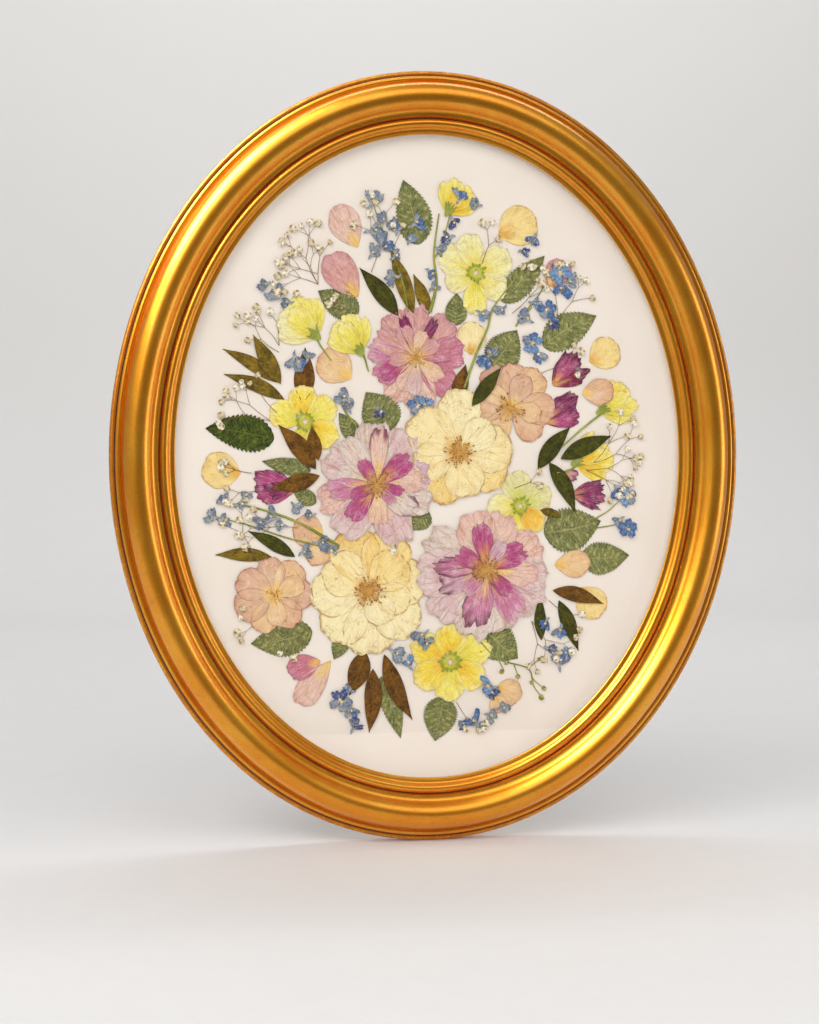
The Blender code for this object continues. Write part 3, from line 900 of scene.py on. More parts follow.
def bead_mesh(name, fineness, tint, seed, fleck="#7a5c34"):
    """Small pressed ball of crumpled petals, about 1 across, with dry flecks."""
    form = bmesh.new()
    bmesh.ops.create_icosphere(form, subdivisions=fineness, radius=0.5)
    rng = random.Random(seed)
    shades = []
    for vertex in form.verts:
        lump = 1 + 0.55 * noise.noise(vertex.co * 4 + Vector((seed, 0, 0)))
        vertex.co = Vector((vertex.co.x, vertex.co.y * 0.5, vertex.co.z)) * lump
        shade = Vector(tint) * rng.uniform(0.8, 1.1) if rng.random() < 0.78 else srgb(fleck)
        shades += shade[:]
    mesh = bpy.data.meshes.new(name)
    form.to_mesh(mesh)
    form.free()
    mesh.color_attributes.new("tint", "FLOAT_COLOR", "POINT").data.foreach_set("color", shades)
    return mesh


def stamen_mesh():
    """One stamen one unit long: a thin bent filament with an anther at its end."""
    sheet = Sheet()
    rust, straw = srgb("#8a5220"), srgb("#d9a85a")

    def filament(i, j):
        angle = math.tau * i
        radius = 0.022 - 0.008 * j
        point = (0.9 * j, -0.10 * math.sin(2.4 * j) - radius * math.cos(angle) - 0.02,
                 radius * math.sin(angle) + 0.05 * j * j)
        return point, (i, j), straw

    def anther(i, j):
        angle = math.tau * i
        radius = 0.05 * math.sin(math.pi * (0.06 + 0.88 * j))
        point = (0.88 + 0.15 * j, -0.10 - radius * math.cos(angle),
                 0.05 + radius * math.sin(angle))
        return point, (i, j), rust

    sheet.grid(4, 5, filament)
    sheet.grid(6, 4, anther)
    return sheet.mesh("stamen")


STAMEN = hidden_shape("stamen_shape", stamen_mesh())


def add_loose_petal(sheet, foot, tip, width, colour, lift, **shape):
    """One petal from its foot to its tip, of the given greatest width."""
    foot, tip = Vector(foot), Vector(tip)
    out = tip - foot
    spread = min(118 * width / out.length, 165)
    shape.setdefault("start", 0.04)
    add_petal(sheet, foot.x, foot.y, heading_of(out), out.length, spread, colour, lift, **shape)


def add_blade(sheet, foot, tip, width, colour, lift, bow=0.0):
    """A narrow pointed blade, for sepals and the green crowns inside the flowers."""
    foot, tip = Vector(foot), Vector(tip)
    out = tip - foot
    left = Vector((-out.y, out.x)).normalized()
    colours = PETAL_COLOURS[colour]

    def sample(i, j):
        half = width / 2 * (math.sin(math.pi * (0.12 + 0.86 * j)) ** 0.8)
        place = foot + out * j + left * ((i * 2 - 1) * half + bow * math.sin(math.pi * j))
        height = lift + 0.12 * wave(place.x, place.y, 2.5, 5.0)
        return on_board(place.x, place.y, height), (i, j), petal_tint(colours, j, 0.0)

    sheet.grid(2, 5, sample)


def add_stamens(name, centers):
    """Filaments and dusty anthers. Each centre is x, z, reach, disc, count, lift and seed."""
    filaments, dust = [], []
    anther = hidden_shape("anther_shape", bead_mesh("anther", 1, srgb("#b07c3c"), 5, "#6e4018"))
    for number, (x, z, reach, disc, count, lift, seed) in enumerate(centers):
        points = bpy.data.meshes.new("points")
        points.from_pydata([on_board(x, z, lift)] * count, [], [])
        burst = add_piece(f"{name}_burst", points)
        SCATTER.run(burst, Shape=STAMEN, Small=reach * 0.55 * MM, Large=reach * MM, Tilt=0.08,
                    Seed=seed, Material=MATERIALS["anther"])
        filaments.append(burst)
        rng = random.Random(seed)
        spots = []
        for _ in range(int(disc * disc * 1.1)):
            radius, angle = disc * rng.random() ** 0.6, rng.uniform(0, math.tau)
            height = lift + 0.1 + 0.35 * rng.random()
            spot = x + radius * math.cos(angle), z + radius * math.sin(angle)
            spots.append(on_board(*spot, height))
        points = bpy.data.meshes.new("points")
        points.from_pydata(spots, [], [])
        heap = add_piece(f"{name}_heap", points)
        SCATTER.run(heap, Shape=anther, Small=0.9 * MM, Large=1.7 * MM, Tilt=0.5, Seed=seed + 1,
                    Material=MATERIALS["anther"])
        dust.append(heap)
    bpy.data.objects.remove(anther)
    hand_over(joined(name, filaments + dust), "stamens")


def joined(name, pieces):
    """Several plain pieces as one."""
    with bpy.context.temp_override(
        active_object=pieces[0], object=pieces[0], selected_objects=pieces,
        selected_editable_objects=pieces,
    ):
        bpy.ops.object.join()
    pieces[0].name = name
    pieces[0].data.name = name
    return pieces[0]


# ---------------------------------------------------------------- bouquet

# Each rose: CAD node, material, slot, place, lift of its lowest petal, and its petals from the
# bottom up as heading, length, spread, colour and, for a dark edge, how deep the fringe goes.
ROSES = {
    "rose_pink_top": ("crepe", "petals_pink", (-12, 77), 0.45, [
        (122, 41, 84, "dusty"), (90, 41, 66, "dusty"), (48, 41, 76, "dusty"), (8, 40, 74, "rosy"),
        (320, 39, 72, "rosy"), (277, 44, 66, "shell"), (238, 39, 66, "shell"),
        (205, 37, 60, "rosy"), (177, 39, 46, "orchid"), (153, 37, 56, "dusty"),
        (108, 34, 30, "plum"), (66, 34, 26, "plum"), (118, 27, 60, "dusty"),
        (207, 33, 46, "magenta"), (240, 29, 52, "shell"), (268, 30, 44, "lilac"),
        (10, 28, 48, "rosy"), (318, 27, 56, "pinkcream"), (75, 22, 62, "pinkcream"),
        (185, 22, 56, "dusty"), (35, 22, 60, "dusty")]),
    "rose_peach_right": ("smooth", "petals_peach", (64, 40), 0.45, [
        (125, 36, 72, "blush"), (50, 36, 76, "apricot"), (88, 34, 64, "peach"),
        (-5, 35, 78, "peach"), (-50, 33, 70, "peach"), (235, 33, 70, "apricot"),
        (188, 30, 78, "peach"), (65, 27, 74, "blush"), (-20, 25, 66, "apricot"),
        (150, 25, 66, "apricot")]),
    "rose_blush_left": ("smooth", "petals_peach", (-122, -105), 0.85, [
        (98, 29, 84, "blush"), (50, 31, 84, "apricot"), (0, 30, 88, "blush"),
        (-55, 29, 84, "peach"), (-108, 31, 70, "apricot"), (-160, 32, 88, "blush"),
        (152, 32, 84, "blush"), (20, 25, 70, "apricot"), (-85, 24, 70, "apricot")]),
    "rose_cream_low": ("smooth", "petals_cream", (-49, -102), 0.75, [
        (-88, 51, 84, "ivory"), (228, 49, 84, "ivory"), (-42, 49, 84, "ivory"),
        (12, 46, 92, "cream"), (182, 46, 88, "ivory"), (62, 49, 86, "butter"),
        (108, 50, 84, "ochre"), (145, 40, 100, "cream"), (40, 38, 96, "butter"),
        (-20, 34, 80, "cream"), (-62, 30, 88, "ivory")]),
    "rose_cream_centre": ("smooth", "petals_cream", (22, 4), 1.3, [
        (88, 50, 74, "ivory"), (-118, 44, 76, "ochre"), (-35, 43, 80, "butter"),
        (198, 38, 84, "cream"), (146, 47, 88, "cream"), (4, 43, 98, "cream"),
        (-78, 36, 96, "cream"), (38, 35, 78, "ivory")]),
    "rose_lavender_left": ("crepe", "petals_lavender", (-43, -21), 1.45, [
        (97, 50, 66, "mist"), (57, 50, 66, "lilac"), (15, 44, 66, "heather"),
        (340, 47, 64, "mist"), (295, 51, 66, "lilac"), (197, 48, 64, "shell"),
        (150, 48, 66, "lilac"), (235, 50, 66, "lilac"), (128, 45, 50, "mist"),
        (160, 33, 58, "mist"), (85, 46, 36, "shell", 0.24), (10, 38, 52, "shell"),
        (325, 38, 60, "mist", 0.1), (185, 41, 46, "orchid"), (275, 32, 56, "pinkcream"),
        (40, 33, 56, "magenta"), (232, 35, 50, "magenta"), (120, 23, 56, "magenta"),
        (205, 22, 54, "magenta"), (345, 22, 44, "magenta"), (312, 21, 44, "orchid")]),
    "rose_pink_right": ("crepe", "petals_pink", (44, -87), 1.5, [
        (150, 57, 62, "mist"), (105, 48, 78, "shell"), (70, 47, 76, "shell"),
        (25, 50, 74, "shell"), (352, 51, 62, "lilac"), (325, 53, 72, "lilac"),
        (285, 52, 66, "mist"), (257, 57, 66, "mist"), (218, 58, 64, "lilac"),
        (186, 58, 78, "lilac"), (355, 41, 56, "shell"), (255, 47, 56, "orchid", 0.3),
        (305, 47, 56, "orchid"), (200, 42, 52, "heather", 0.2), (172, 44, 40, "orchid", 0.34),
        (98, 37, 50, "magenta"), (32, 36, 58, "magenta"), (155, 29, 56, "magenta"),
        (310, 27, 52, "magenta"), (60, 26, 48, "heather"), (228, 26, 50, "orchid")]),
}

ROSE_LOOKS = {
    "crepe": {"ripple": 0.08, "notch": 0.07, "crumple": 0.14, "fullness": 0.40, "throat": 0.42},
    "smooth": {"ripple": 0.045, "notch": 0.02, "crumple": 0.08, "fullness": 0.31, "throat": 0.28},
}
# Colours of the small torn petals in the middle of a rose.
RAGGED = ("magenta", "plum", "wine", "orchid")

# Open bell flowers: place, lift, petals as above, radius of the green crown.
BELLS = {
    "lisianthus_cream": ((35, 143), 0.45, 7.5, [
        (205, 26, 74, "primrose"), (150, 32, 82, "primrose"), (102, 31, 70, "primrose"),
        (28, 31, 88, "primrose"), (-38, 29, 76, "primrose"), (-88, 32, 62, "lemon")]),
    "lisianthus_yellow_left": ((-98, 27), 0.35, 8.0, [
        (160, 29, 84, "lemon"), (98, 28, 84, "sulphur"), (35, 28, 84, "lemon"),
        (-30, 28, 84, "sulphur"), (-100, 27, 84, "lemon")]),
    "lisianthus_green_right": ((71, -38), 0.35, 7.0, [
        (100, 28, 92, "celadon"), (30, 27, 88, "celadon"), (185, 27, 88, "primrose"),
        (245, 26, 80, "lemon"), (310, 25, 84, "gold")]),
    "lisianthus_yellow_low": ((15, -159), 0.45, 8.0, [
        (150, 34, 80, "sulphur"), (88, 30, 88, "sulphur"), (25, 34, 80, "lemon"),
        (-32, 31, 80, "sulphur"), (-95, 30, 82, "lemon"), (-152, 32, 76, "sulphur")]),
}

# Closed flowers seen from the side: foot, far edge, width, colours, lift.
CLOSED = {
    "bud_yellow_top": ((12, 188), (28, 212), 34, ("sulphur", "lemon"), 0.7),
    "bud_yellow_left": ((-88, 92), (-114, 117), 36, ("lemon", "primrose"), 0.6),
    "bud_yellow_middle": ((-55, 80), (-71, 108), 32, ("lemon", "lemon"), 0.75),
    "bud_yellow_right": ((134, 36), (163, 50), 32, ("lemon", "sulphur"), 0.4),
    "bud_yellow_low_right": ((114, -5), (146, 6), 34, ("sulphur", "lemon"), 0.3),
}

# Loose petals by slot: foot, far edge, width, colour, lift, node that each stands for.
LOOSE = {
    "petals_cream": ("smooth", [
        ((53, 172), (83, 187), 33, "butter", 0.35, "petal_cream_top"),
        ((31, 79), (34, 105), 24, "cream", 0.5, "petal_cream_middle"),
        ((126, 75), (151, 86), 27, "butter", 0.3, "petal_cream_right"),
        ((-147, -12), (-177, -9), 29, "butter", 0.3, "petal_cream_left"),
        ((119, -102), (137, -124), 27, "butter", 0.3, "petal_cream_low_right")]),
    "petals_peach": ("smooth", [
        ((-62, 60), (-87, 79), 29, "apricot", 0.4, "petal_peach_left"),
        ((98, -84), (127, -83), 22, "apricot", 0.75, None),
        ((120, 50), (146, 52), 22, "peach", 1.0, None),
        ((-84, -58), (-108, -54), 27, "peach", 0.3, None),
        ((-80, -62), (-96, -80), 22, "apricot", 0.35, None),
        ((52, -178), (70, -190), 24, "apricot", 0.35, None),
        ((50, -186), (56, -199), 16, "apricot", 0.45, None)]),
    "petals_pink": ("crepe", [
        ((-57, 160), (-74, 192), 25, "shell", 0.35, "petal_pink_high"),
        ((-57, 122), (-79, 156), 27, "dusty", 0.6, "petal_pink_low"),
        ((-78, -155), (-103, -190), 20, "shell", 0.35, "petal_pink_corner"),
        ((-86, -156), (-112, -163), 20, "rosy", 0.5, None),
        ((92, 134), (108, 152), 24, "dusty", 0.3, None)]),
    "petals_magenta": ("crepe", [
        ((-105, -25), (-137, -18), 28, "magenta", 0.35, "petal_magenta_left"),
        ((-106, -23), (-129, -26), 13, "plum", 0.55, None),
        ((96, 56), (123, 77), 28, "wine", 0.35, "petal_burgundy"),
        ((98, 58), (114, 80), 14, "magenta", 0.55, None),
        ((90, 27), (121, 42), 28, "magenta", 0.35, "petal_magenta_right"),
        ((92, 27), (119, 31), 14, "magenta", 0.5, None),
        ((93, 30), (113, 48), 12, "plum", 0.6, None),
        ((111, -30), (140, -27), 20, "magenta", 0.35, None),
        ((113, -30), (136, -38), 11, "plum", 0.5, None),
        ((113, -29), (139, -20), 9, "plum", 0.55, None),
        ((104, -12), (118, -15), 10, "dusty", 0.35, None)]),
}

TORN = {"fullness": 0.5, "notch": 0.12, "ripple": 0.2, "fringe": 0.3, "crumple": 0.25}
WHOLE = {"fullness": 0.42, "notch": 0.0, "ripple": 0.05, "fringe": 0.0, "crumple": 0.12}

# Leaves by kind: material, slot, teeth, and each leaf's foot, tip, width, lift and node.
LEAVES = {
    "rose_leaves": ("rose_leaf", "leaves_green", 18, [
        ((-10, 164), (-22, 213), 27, 0.3, "leaf_rose_crown"),
        ((56, 121), (90, 157), 21, 0.25, "leaf_rose_upper_right"),
        ((48, 70), (68, 99), 28, 0.3, "leaf_rose_right_inner"),
        ((89, 87), (132, 111), 27, 0.3, "leaf_rose_right_outer"),
        ((-57, 110), (-88, 127), 22, 0.3, "leaf_rose_upper_left"),
        ((-30, 22), (-51, 50), 30, 0.3, "leaf_rose_inner_left"),
        ((-93, -133), (-140, -142), 26, 0.3, "leaf_rose_lower_left"),
        ((10, -186), (3, -220), 26, 0.3, "leaf_rose_bottom"),
        ((41, -133), (69, -157), 29, 0.3, "leaf_rose_lower_right"),
        ((90, -59), (136, -50), 34, 0.3, "leaf_rose_broad_right"),
        ((120, -79), (159, -77), 25, 0.4, "leaf_rose_far_right"),
        ((19, 102), (20, 127), 17, 0.45, None),
        ((-94, -10), (-131, -3), 13, 0.5, None),
        ((-90, -35), (-108, -24), 12, 0.3, None),
        ((-59, 12), (-72, 34), 14, 0.3, None),
        ((-69, -137), (-76, -155), 13, 0.35, None),
        ((-2, -42), (-16, -56), 16, 0.3, None),
        ((-39, -169), (-24, -217), 16, 0.4, None)]),
    "deep_leaves": ("deep_leaf", "leaves_green", 16, [
        ((-122, 14), (-174, 22), 27, 0.4, "leaf_dark_left")]),
    "dark_leaves": ("dark_leaf", "leaves_green", 0, [
        ((103, -1), (144, 17), 14, 1.9, "leaf_dark_right"),
        ((-26, 109), (-56, 145), 14, 0.7, None),
        ((32, 40), (55, 70), 11.5, 2.0, None),
        ((-106, -76), (-142, -56), 10.5, 0.55, None),
        ((85, -9), (111, 24), 13.5, 0.7, None),
        ((94, -4), (115, -43), 13, 1.1, None),
        ((88, -143), (87, -108), 9.5, 0.6, None),
        ((102, -112), (118, -152), 12, 0.6, None)]),
    "olive_leaves": ("olive_leaf", "leaves_brown", 0, [
        ((-119, 57), (-161, 82), 10.5, 0.35, "leaf_olive_upper"),
        ((-117, 56), (-138, 93), 13, 1.3, "leaf_olive_top"),
        ((-114, 44), (-160, 63), 11, 0.45, "leaf_olive_lower"),
        ((-124, -76), (-167, -74), 10.5, 0.5, None),
        ((-14, 111), (-32, 160), 12.5, 0.9, None),
        ((-2, 110), (-14, 141), 10.5, 0.6, None),
        ((87, -41), (104, -47), 7, 0.9, None)]),
    "brown_leaves": ("brown_leaf", "leaves_brown", 0, [
        ((-46, -163), (-49, -212), 14, 1.5, "leaf_brown_left"),
        ((-37, -152), (-15, -203), 14, 1.0, "leaf_brown_right"),
        ((-100, 42), (-98, 84), 16, 0.22, None),
        ((-90, -9), (-119, 25), 14.5, 1.3, None),
        ((-88, -2), (-93, 24), 11, 1.3, None),
        ((-87, -14), (-125, -24), 13, 1.0, None),
        ((-52, -149), (-64, -183), 17, 0.45, None),
        ((18, 44), (27, 72), 12.5, 1.1, None),
        ((97, -104), (138, -115), 12, 1.0, None)]),
}

# Larkspur florets: place, size and colour; the size decides whether a floret opens with five
# petals.
FLORETS = [
    (-45, 200, 13, "slate"), (-42, 174, 14, "slate"), (-35, 164, 14, "steel"),
    (-32, 138, 11, "slate"), (-38, 184, 9, "steel"), (-28, 178, 10, "steel"),
    (-44, 158, 10, "slate"), (-27, 155, 8, "steel"), (-121, 125, 13, "slate"),
    (-130, 131, 9, "steel"), (-113, 118, 8, "steel"), (-104, 72, 12, "slate"),
    (-96, 78, 8, "slate"), (-10, 181, 10, "cornflower"), (24, 203, 11, "cornflower"),
    (34, 196, 8, "slate"), (11, 169, 10, "indigo"), (8, 160, 8, "slate"),
    (1, 141, 9, "cornflower"), (3, 132, 8, "slate"), (18, 181, 8, "indigo"), (41, 110, 9, "sky"),
    (54, 114, 9, "slate"), (81, 168, 9, "cornflower"), (74, 160, 7, "indigo"),
    (102, 144, 17, "sky"), (112, 137, 11, "slate"), (104, 130, 12, "cornflower"),
    (92, 115, 15, "cornflower"), (97, 104, 10, "indigo"), (84, 120, 9, "sky"),
    (74, 110, 11, "slate"), (80, 89, 16, "sky"), (84, 78, 10, "cornflower"),
    (41, 75, 13, "cornflower"), (47, 82, 9, "slate"), (-11, 40, 15, "cornflower"),
    (-4, 43, 10, "sky"), (-69, 47, 12, "slate"), (-66, 40, 9, "steel"), (-40, 34, 8, "indigo"),
    (-162, -32, 8, "slate"), (-170, -44, 9, "slate"), (-159, -48, 8, "steel"),
    (-144, -28, 8, "slate"), (-148, -36, 7, "slate"), (-133, -50, 11, "steel"),
    (-125, -45, 10, "slate"), (-118, -52, 8, "slate"), (-104, -39, 9, "slate"),
    (-96, -44, 8, "steel"), (-84, -65, 11, "steel"), (-97, -72, 9, "slate"),
    (-76, -70, 8, "slate"), (157, -31, 15, "sky"), (151, -27, 9, "cornflower"),
    (158, -56, 15, "cornflower"), (150, -51, 8, "sky"), (-71, -187, 17, "indigo"),
    (-62, -197, 10, "cornflower"), (-59, -204, 12, "indigo"), (-66, -178, 9, "sky"),
    (-26, -152, 12, "slate"), (-18, -158, 9, "sky"), (-10, -139, 12, "cornflower"),
    (-3, -144, 9, "slate"), (44, -179, 12, "sky"), (50, -184, 9, "indigo"), (58, -195, 9, "slate"),
    (33, -204, 12, "cornflower"), (40, -209, 9, "sky"), (48, -202, 8, "slate"),
    (24, -208, 8, "slate"), (102, -157, 14, "slate"), (108, -152, 10, "sky"),
    (91, -131, 8, "cornflower"), (102, -137, 9, "sky"), (96, -150, 8, "indigo"),
    (-16, 168, 7, "sky"),
]

# Green stalks: points, thickness at foot and tip in millimetres.
STALKS = [
    ([(-1, 112), (4, 134), (2, 157), (6, 188)], 2.9, 1.0),
    ([(2, 153), (9, 167), (15, 189)], 1.2, 0.8),
    ([(26, 54), (35, 79), (44, 99), (49, 116), (61, 132), (79, 154)], 2.3, 1.0),
    ([(-18, 112), (-24, 140), (-36, 168), (-46, 196)], 1.5, 0.7),
    ([(-72, -68), (-103, -50), (-134, -39), (-166, -33)], 2.6, 0.9),
    ([(-76, -70), (-110, -62), (-140, -52), (-170, -44)], 1.6, 0.7),
    ([(37, -141), (53, -157), (77, -165), (82, -179), (88, -187)], 1.2, 0.7),
    ([(77, -165), (85, -159)], 0.9, 0.6), ([(80, -172), (84, -176), (89, -180)], 0.9, 0.6),
    ([(53, -157), (58, -166)], 0.9, 0.6), ([(66, -162), (69, -170)], 0.9, 0.6),
    ([(128, -50), (142, -42), (151, -34)], 1.1, 0.7),
    ([(128, -56), (142, -54), (152, -52)], 1.1, 0.7),
    ([(-91, 94), (-86, 85), (-78, 74)], 1.8, 1.1), ([(-58, 84), (-54, 81), (-49, 66)], 1.8, 1.3),
    ([(137, 35), (120, 22), (104, 8)], 1.7, 1.2), ([(118, -5), (110, -10), (100, -12)], 1.7, 1.2),
    ([(-72, 47), (-67, 35), (-59, 25)], 1.9, 1.3),
    ([(67, 102), (77, 116), (85, 126), (90, 135)], 1.5, 0.9),
    ([(67, 102), (74, 110), (80, 117)], 1.1, 0.7),
]

# Sprays of baby's breath: foot, heading, reach, fan, heads, seed.
SPRAYS = [
    (-88, 132, 138, 34, 80, 11, 3), (-88, 132, 105, 52, 60, 12, 4), (-88, 140, 165, 34, 60, 6, 17),
    (-118, 85, 108, 42, 60, 9, 5), (-118, 80, 150, 40, 40, 6, 18), (-47, 142, 70, 60, 30, 6, 6),
    (-60, 100, 128, 30, 50, 4, 19), (-30, 130, 88, 66, 26, 6, 20), (-125, 28, 158, 46, 52, 10, 7),
    (-120, 34, 135, 36, 40, 5, 21), (-139, -12, 172, 30, 60, 6, 8), (-136, -26, 184, 30, 44, 6, 9),
    (-134, -80, 118, 60, 34, 6, 10), (-120, -122, 195, 34, 54, 7, 11),
    (-95, -130, 222, 30, 40, 3, 22), (-104, -54, 172, 50, 30, 6, 23), (40, 150, 70, 36, 50, 7, 12),
    (100, 106, 72, 48, 66, 8, 13), (88, 66, 22, 40, 50, 7, 14), (64, 112, 40, 44, 40, 6, 24),
    (130, -4, 30, 46, 64, 12, 15), (124, -10, -10, 42, 56, 8, 25), (80, -128, -62, 44, 44, 8, 16),
    (94, -112, -40, 36, 40, 5, 26), (20, -190, -60, 34, 70, 7, 27), (-22, -70, 190, 10, 40, 2, 28),
    (66, -24, 20, 24, 40, 4, 29),
]


def bouquet_petals():
    for name, (material, slot, (x, z), lift, petals) in ROSES.items():
        sheet = Sheet()
        for number, (heading, length, spread, colour, *fringe) in enumerate(petals):
            look = dict(ROSE_LOOKS[material], fringe=fringe[0] if fringe else 0.0)
            if material == "crepe" and colour in RAGGED:
                look.update(ripple=0.13, throat=0.46)
            add_petal(sheet, x, z, heading, length, spread, colour, lift + 0.05 * number,
                      detail=(36, 20), **look)
        finish_sheet(name, sheet, material, slot, [name])
    for name, ((x, z), lift, crown, petals) in BELLS.items():
        sheet = Sheet()
        for number, (heading, length, spread, colour) in enumerate(petals):
            add_petal(sheet, x, z, heading, length, spread, colour, lift + 0.07 * number,
                      ripple=0.06, notch=0.0, crumple=0.12, fullness=0.29, start=0.08,
                      throat=0.5, detail=(34, 18))
        finish_sheet(name, sheet, "silk", "petals_yellow", [name])
    for name, (foot, far, width, colours, lift) in CLOSED.items():
        sheet = Sheet()
        foot, far = Vector(foot), Vector(far)
        out = far - foot
        heading = heading_of(out)
        fans = [(-34, 0.86), (33, 0.88), (-13, 1.0), (16, 0.98), (2, 0.84)]
        for number, (turn, share) in enumerate(fans):
            add_petal(sheet, foot.x, foot.y, heading + turn, out.length * share,
                      62 * width / 34, colours[number % 2], lift + 0.1 * number, ripple=0.09,
                      fullness=0.4, notch=0.04, crumple=0.14, throat=0.6)
        finish_sheet(name, sheet, "silk", "petals_yellow", [name])
    for slot, (material, petals) in LOOSE.items():
        sheet = Sheet()
        nodes = []
        for foot, far, width, colour, lift, node in petals:
            look = TORN if slot == "petals_magenta" else WHOLE
            add_loose_petal(sheet, foot, far, width, colour, lift, detail=(30, 18), **look)
            nodes += [node] if node else []
        finish_sheet(f"loose_{slot}", sheet, material, slot, nodes)


def bouquet_leaves():
    for name, (material, slot, teeth, leaves) in LEAVES.items():
        sheet = Sheet()
        nodes = []
        rng = random.Random(len(leaves))
        for foot, tip, width, lift, node in leaves:
            shade = rng.uniform(0.78, 1.14)
            tint = (shade, shade * rng.uniform(0.97, 1.02), shade * rng.uniform(0.9, 1.05))
            size = (Vector(tip) - Vector(foot)).length
            add_leaf(sheet, foot, tip, width, lift, teeth if size > 20 and teeth else teeth // 2,
                     tapers=(0.62, 0.98) if teeth else (0.95, 1.25), tint=tint,
                     bow=rng.uniform(-0.05, 0.05))
            nodes += [node] if node else []
        finish_sheet(name, sheet, material, slot, nodes, LEAF_THICK)


def bouquet_greens():
    """Green crowns inside the open bells and sepals at the feet of the closed flowers."""
    sheet = Sheet()
    rng = random.Random(8)
    for (x, z), lift, crown, _ in BELLS.values():
        count = 13
        for k in range(count):
            angle = math.tau * k / count + rng.uniform(-0.12, 0.12)
            inner, outer = crown * rng.uniform(0.25, 0.4), crown * rng.uniform(0.85, 1.3)
            foot = (x + inner * math.cos(angle), z + inner * math.sin(angle))
            tip = (x + outer * math.cos(angle + 0.1), z + outer * math.sin(angle + 0.1))
            width = crown * rng.uniform(0.34, 0.48)
            add_blade(sheet, foot, tip, width, "crown", lift + 0.6 + 0.02 * k)
    for (foot, far, width, _, lift) in CLOSED.values():
        foot, out = Vector(foot), (Vector(far) - Vector(foot)).normalized()
        for k in range(6):
            angle = math.radians(-38 + 15 * k + rng.uniform(-5, 5))
            side = Vector((out.x * math.cos(angle) - out.y * math.sin(angle),
                           out.x * math.sin(angle) + out.y * math.cos(angle)))
            tip = foot + side * rng.uniform(5, 11)
            add_blade(sheet, foot - out * 2.5, tip, 2.4, "calyx", lift + 0.75 + 0.03 * k,
                      rng.uniform(-1, 1))
    finish_sheet("green_crowns", sheet, "sepal", "stems", (), BLADE_THICK)


def bouquet_florets():
    """Crumpled larkspur florets: a spur, folded petals and a paler throat."""
    sheet = Sheet()
    rng = random.Random(21)
    for x, z, size, colour in FLORETS:
        heading = rng.uniform(0, 360)
        open_face = size >= 15
        count = 5 if open_face else rng.choice((3, 4))
        fan = 360 if open_face else 110
        spur = aim(heading)
        foot = Vector((x, z)) - spur * size * (0.0 if open_face else 0.45)
        for k in range(count):
            turn = heading + (fan * (k + 0.5) / count - fan / 2) + rng.uniform(-12, 12)
            length = size * (0.56 if open_face else rng.uniform(0.7, 1.1))
            tone = colour if rng.random() < 0.7 else rng.choice(("slate", "steel", "cornflower"))
            spread = rng.uniform(72, 100) if open_face else rng.uniform(40, 66)
            add_petal(sheet, foot.x, foot.y, turn, length, spread, tone, 1.3 + 0.2 * k, ripple=0.2,
                      crumple=0.6, fullness=0.42, notch=0.08, detail=(9, 8), throat=0.3)
        add_blade(sheet, foot + spur * 2, foot - spur * size * 0.4, 2.4, "slate", 1.5,
                  rng.uniform(-1.5, 1.5))
        for _ in range(3 if open_face else 1):
            eye = foot + spur * size * (0.0 if open_face else 0.3)
            far = eye + Vector((rng.uniform(-1, 1), rng.uniform(-1, 1))) * 2.4
            add_blade(sheet, eye, far, 1.8, rng.choice(("ivory", "ochre")), 2.3)
    finish_sheet("larkspur_florets", sheet, "floret", "florets_blue", (), FLORET_THICK)


def bouquet_stalks():
    lines, gauges = [], []
    for points, foot, tip in STALKS:
        lines.append([on_board(x, z, 0.75 if foot > 1.6 else 0.6) for x, z in points])
        gauges.append((foot / 2, tip / 2))
    add_twigs("green_stalks", lines, gauges, 8, "green_stalk")


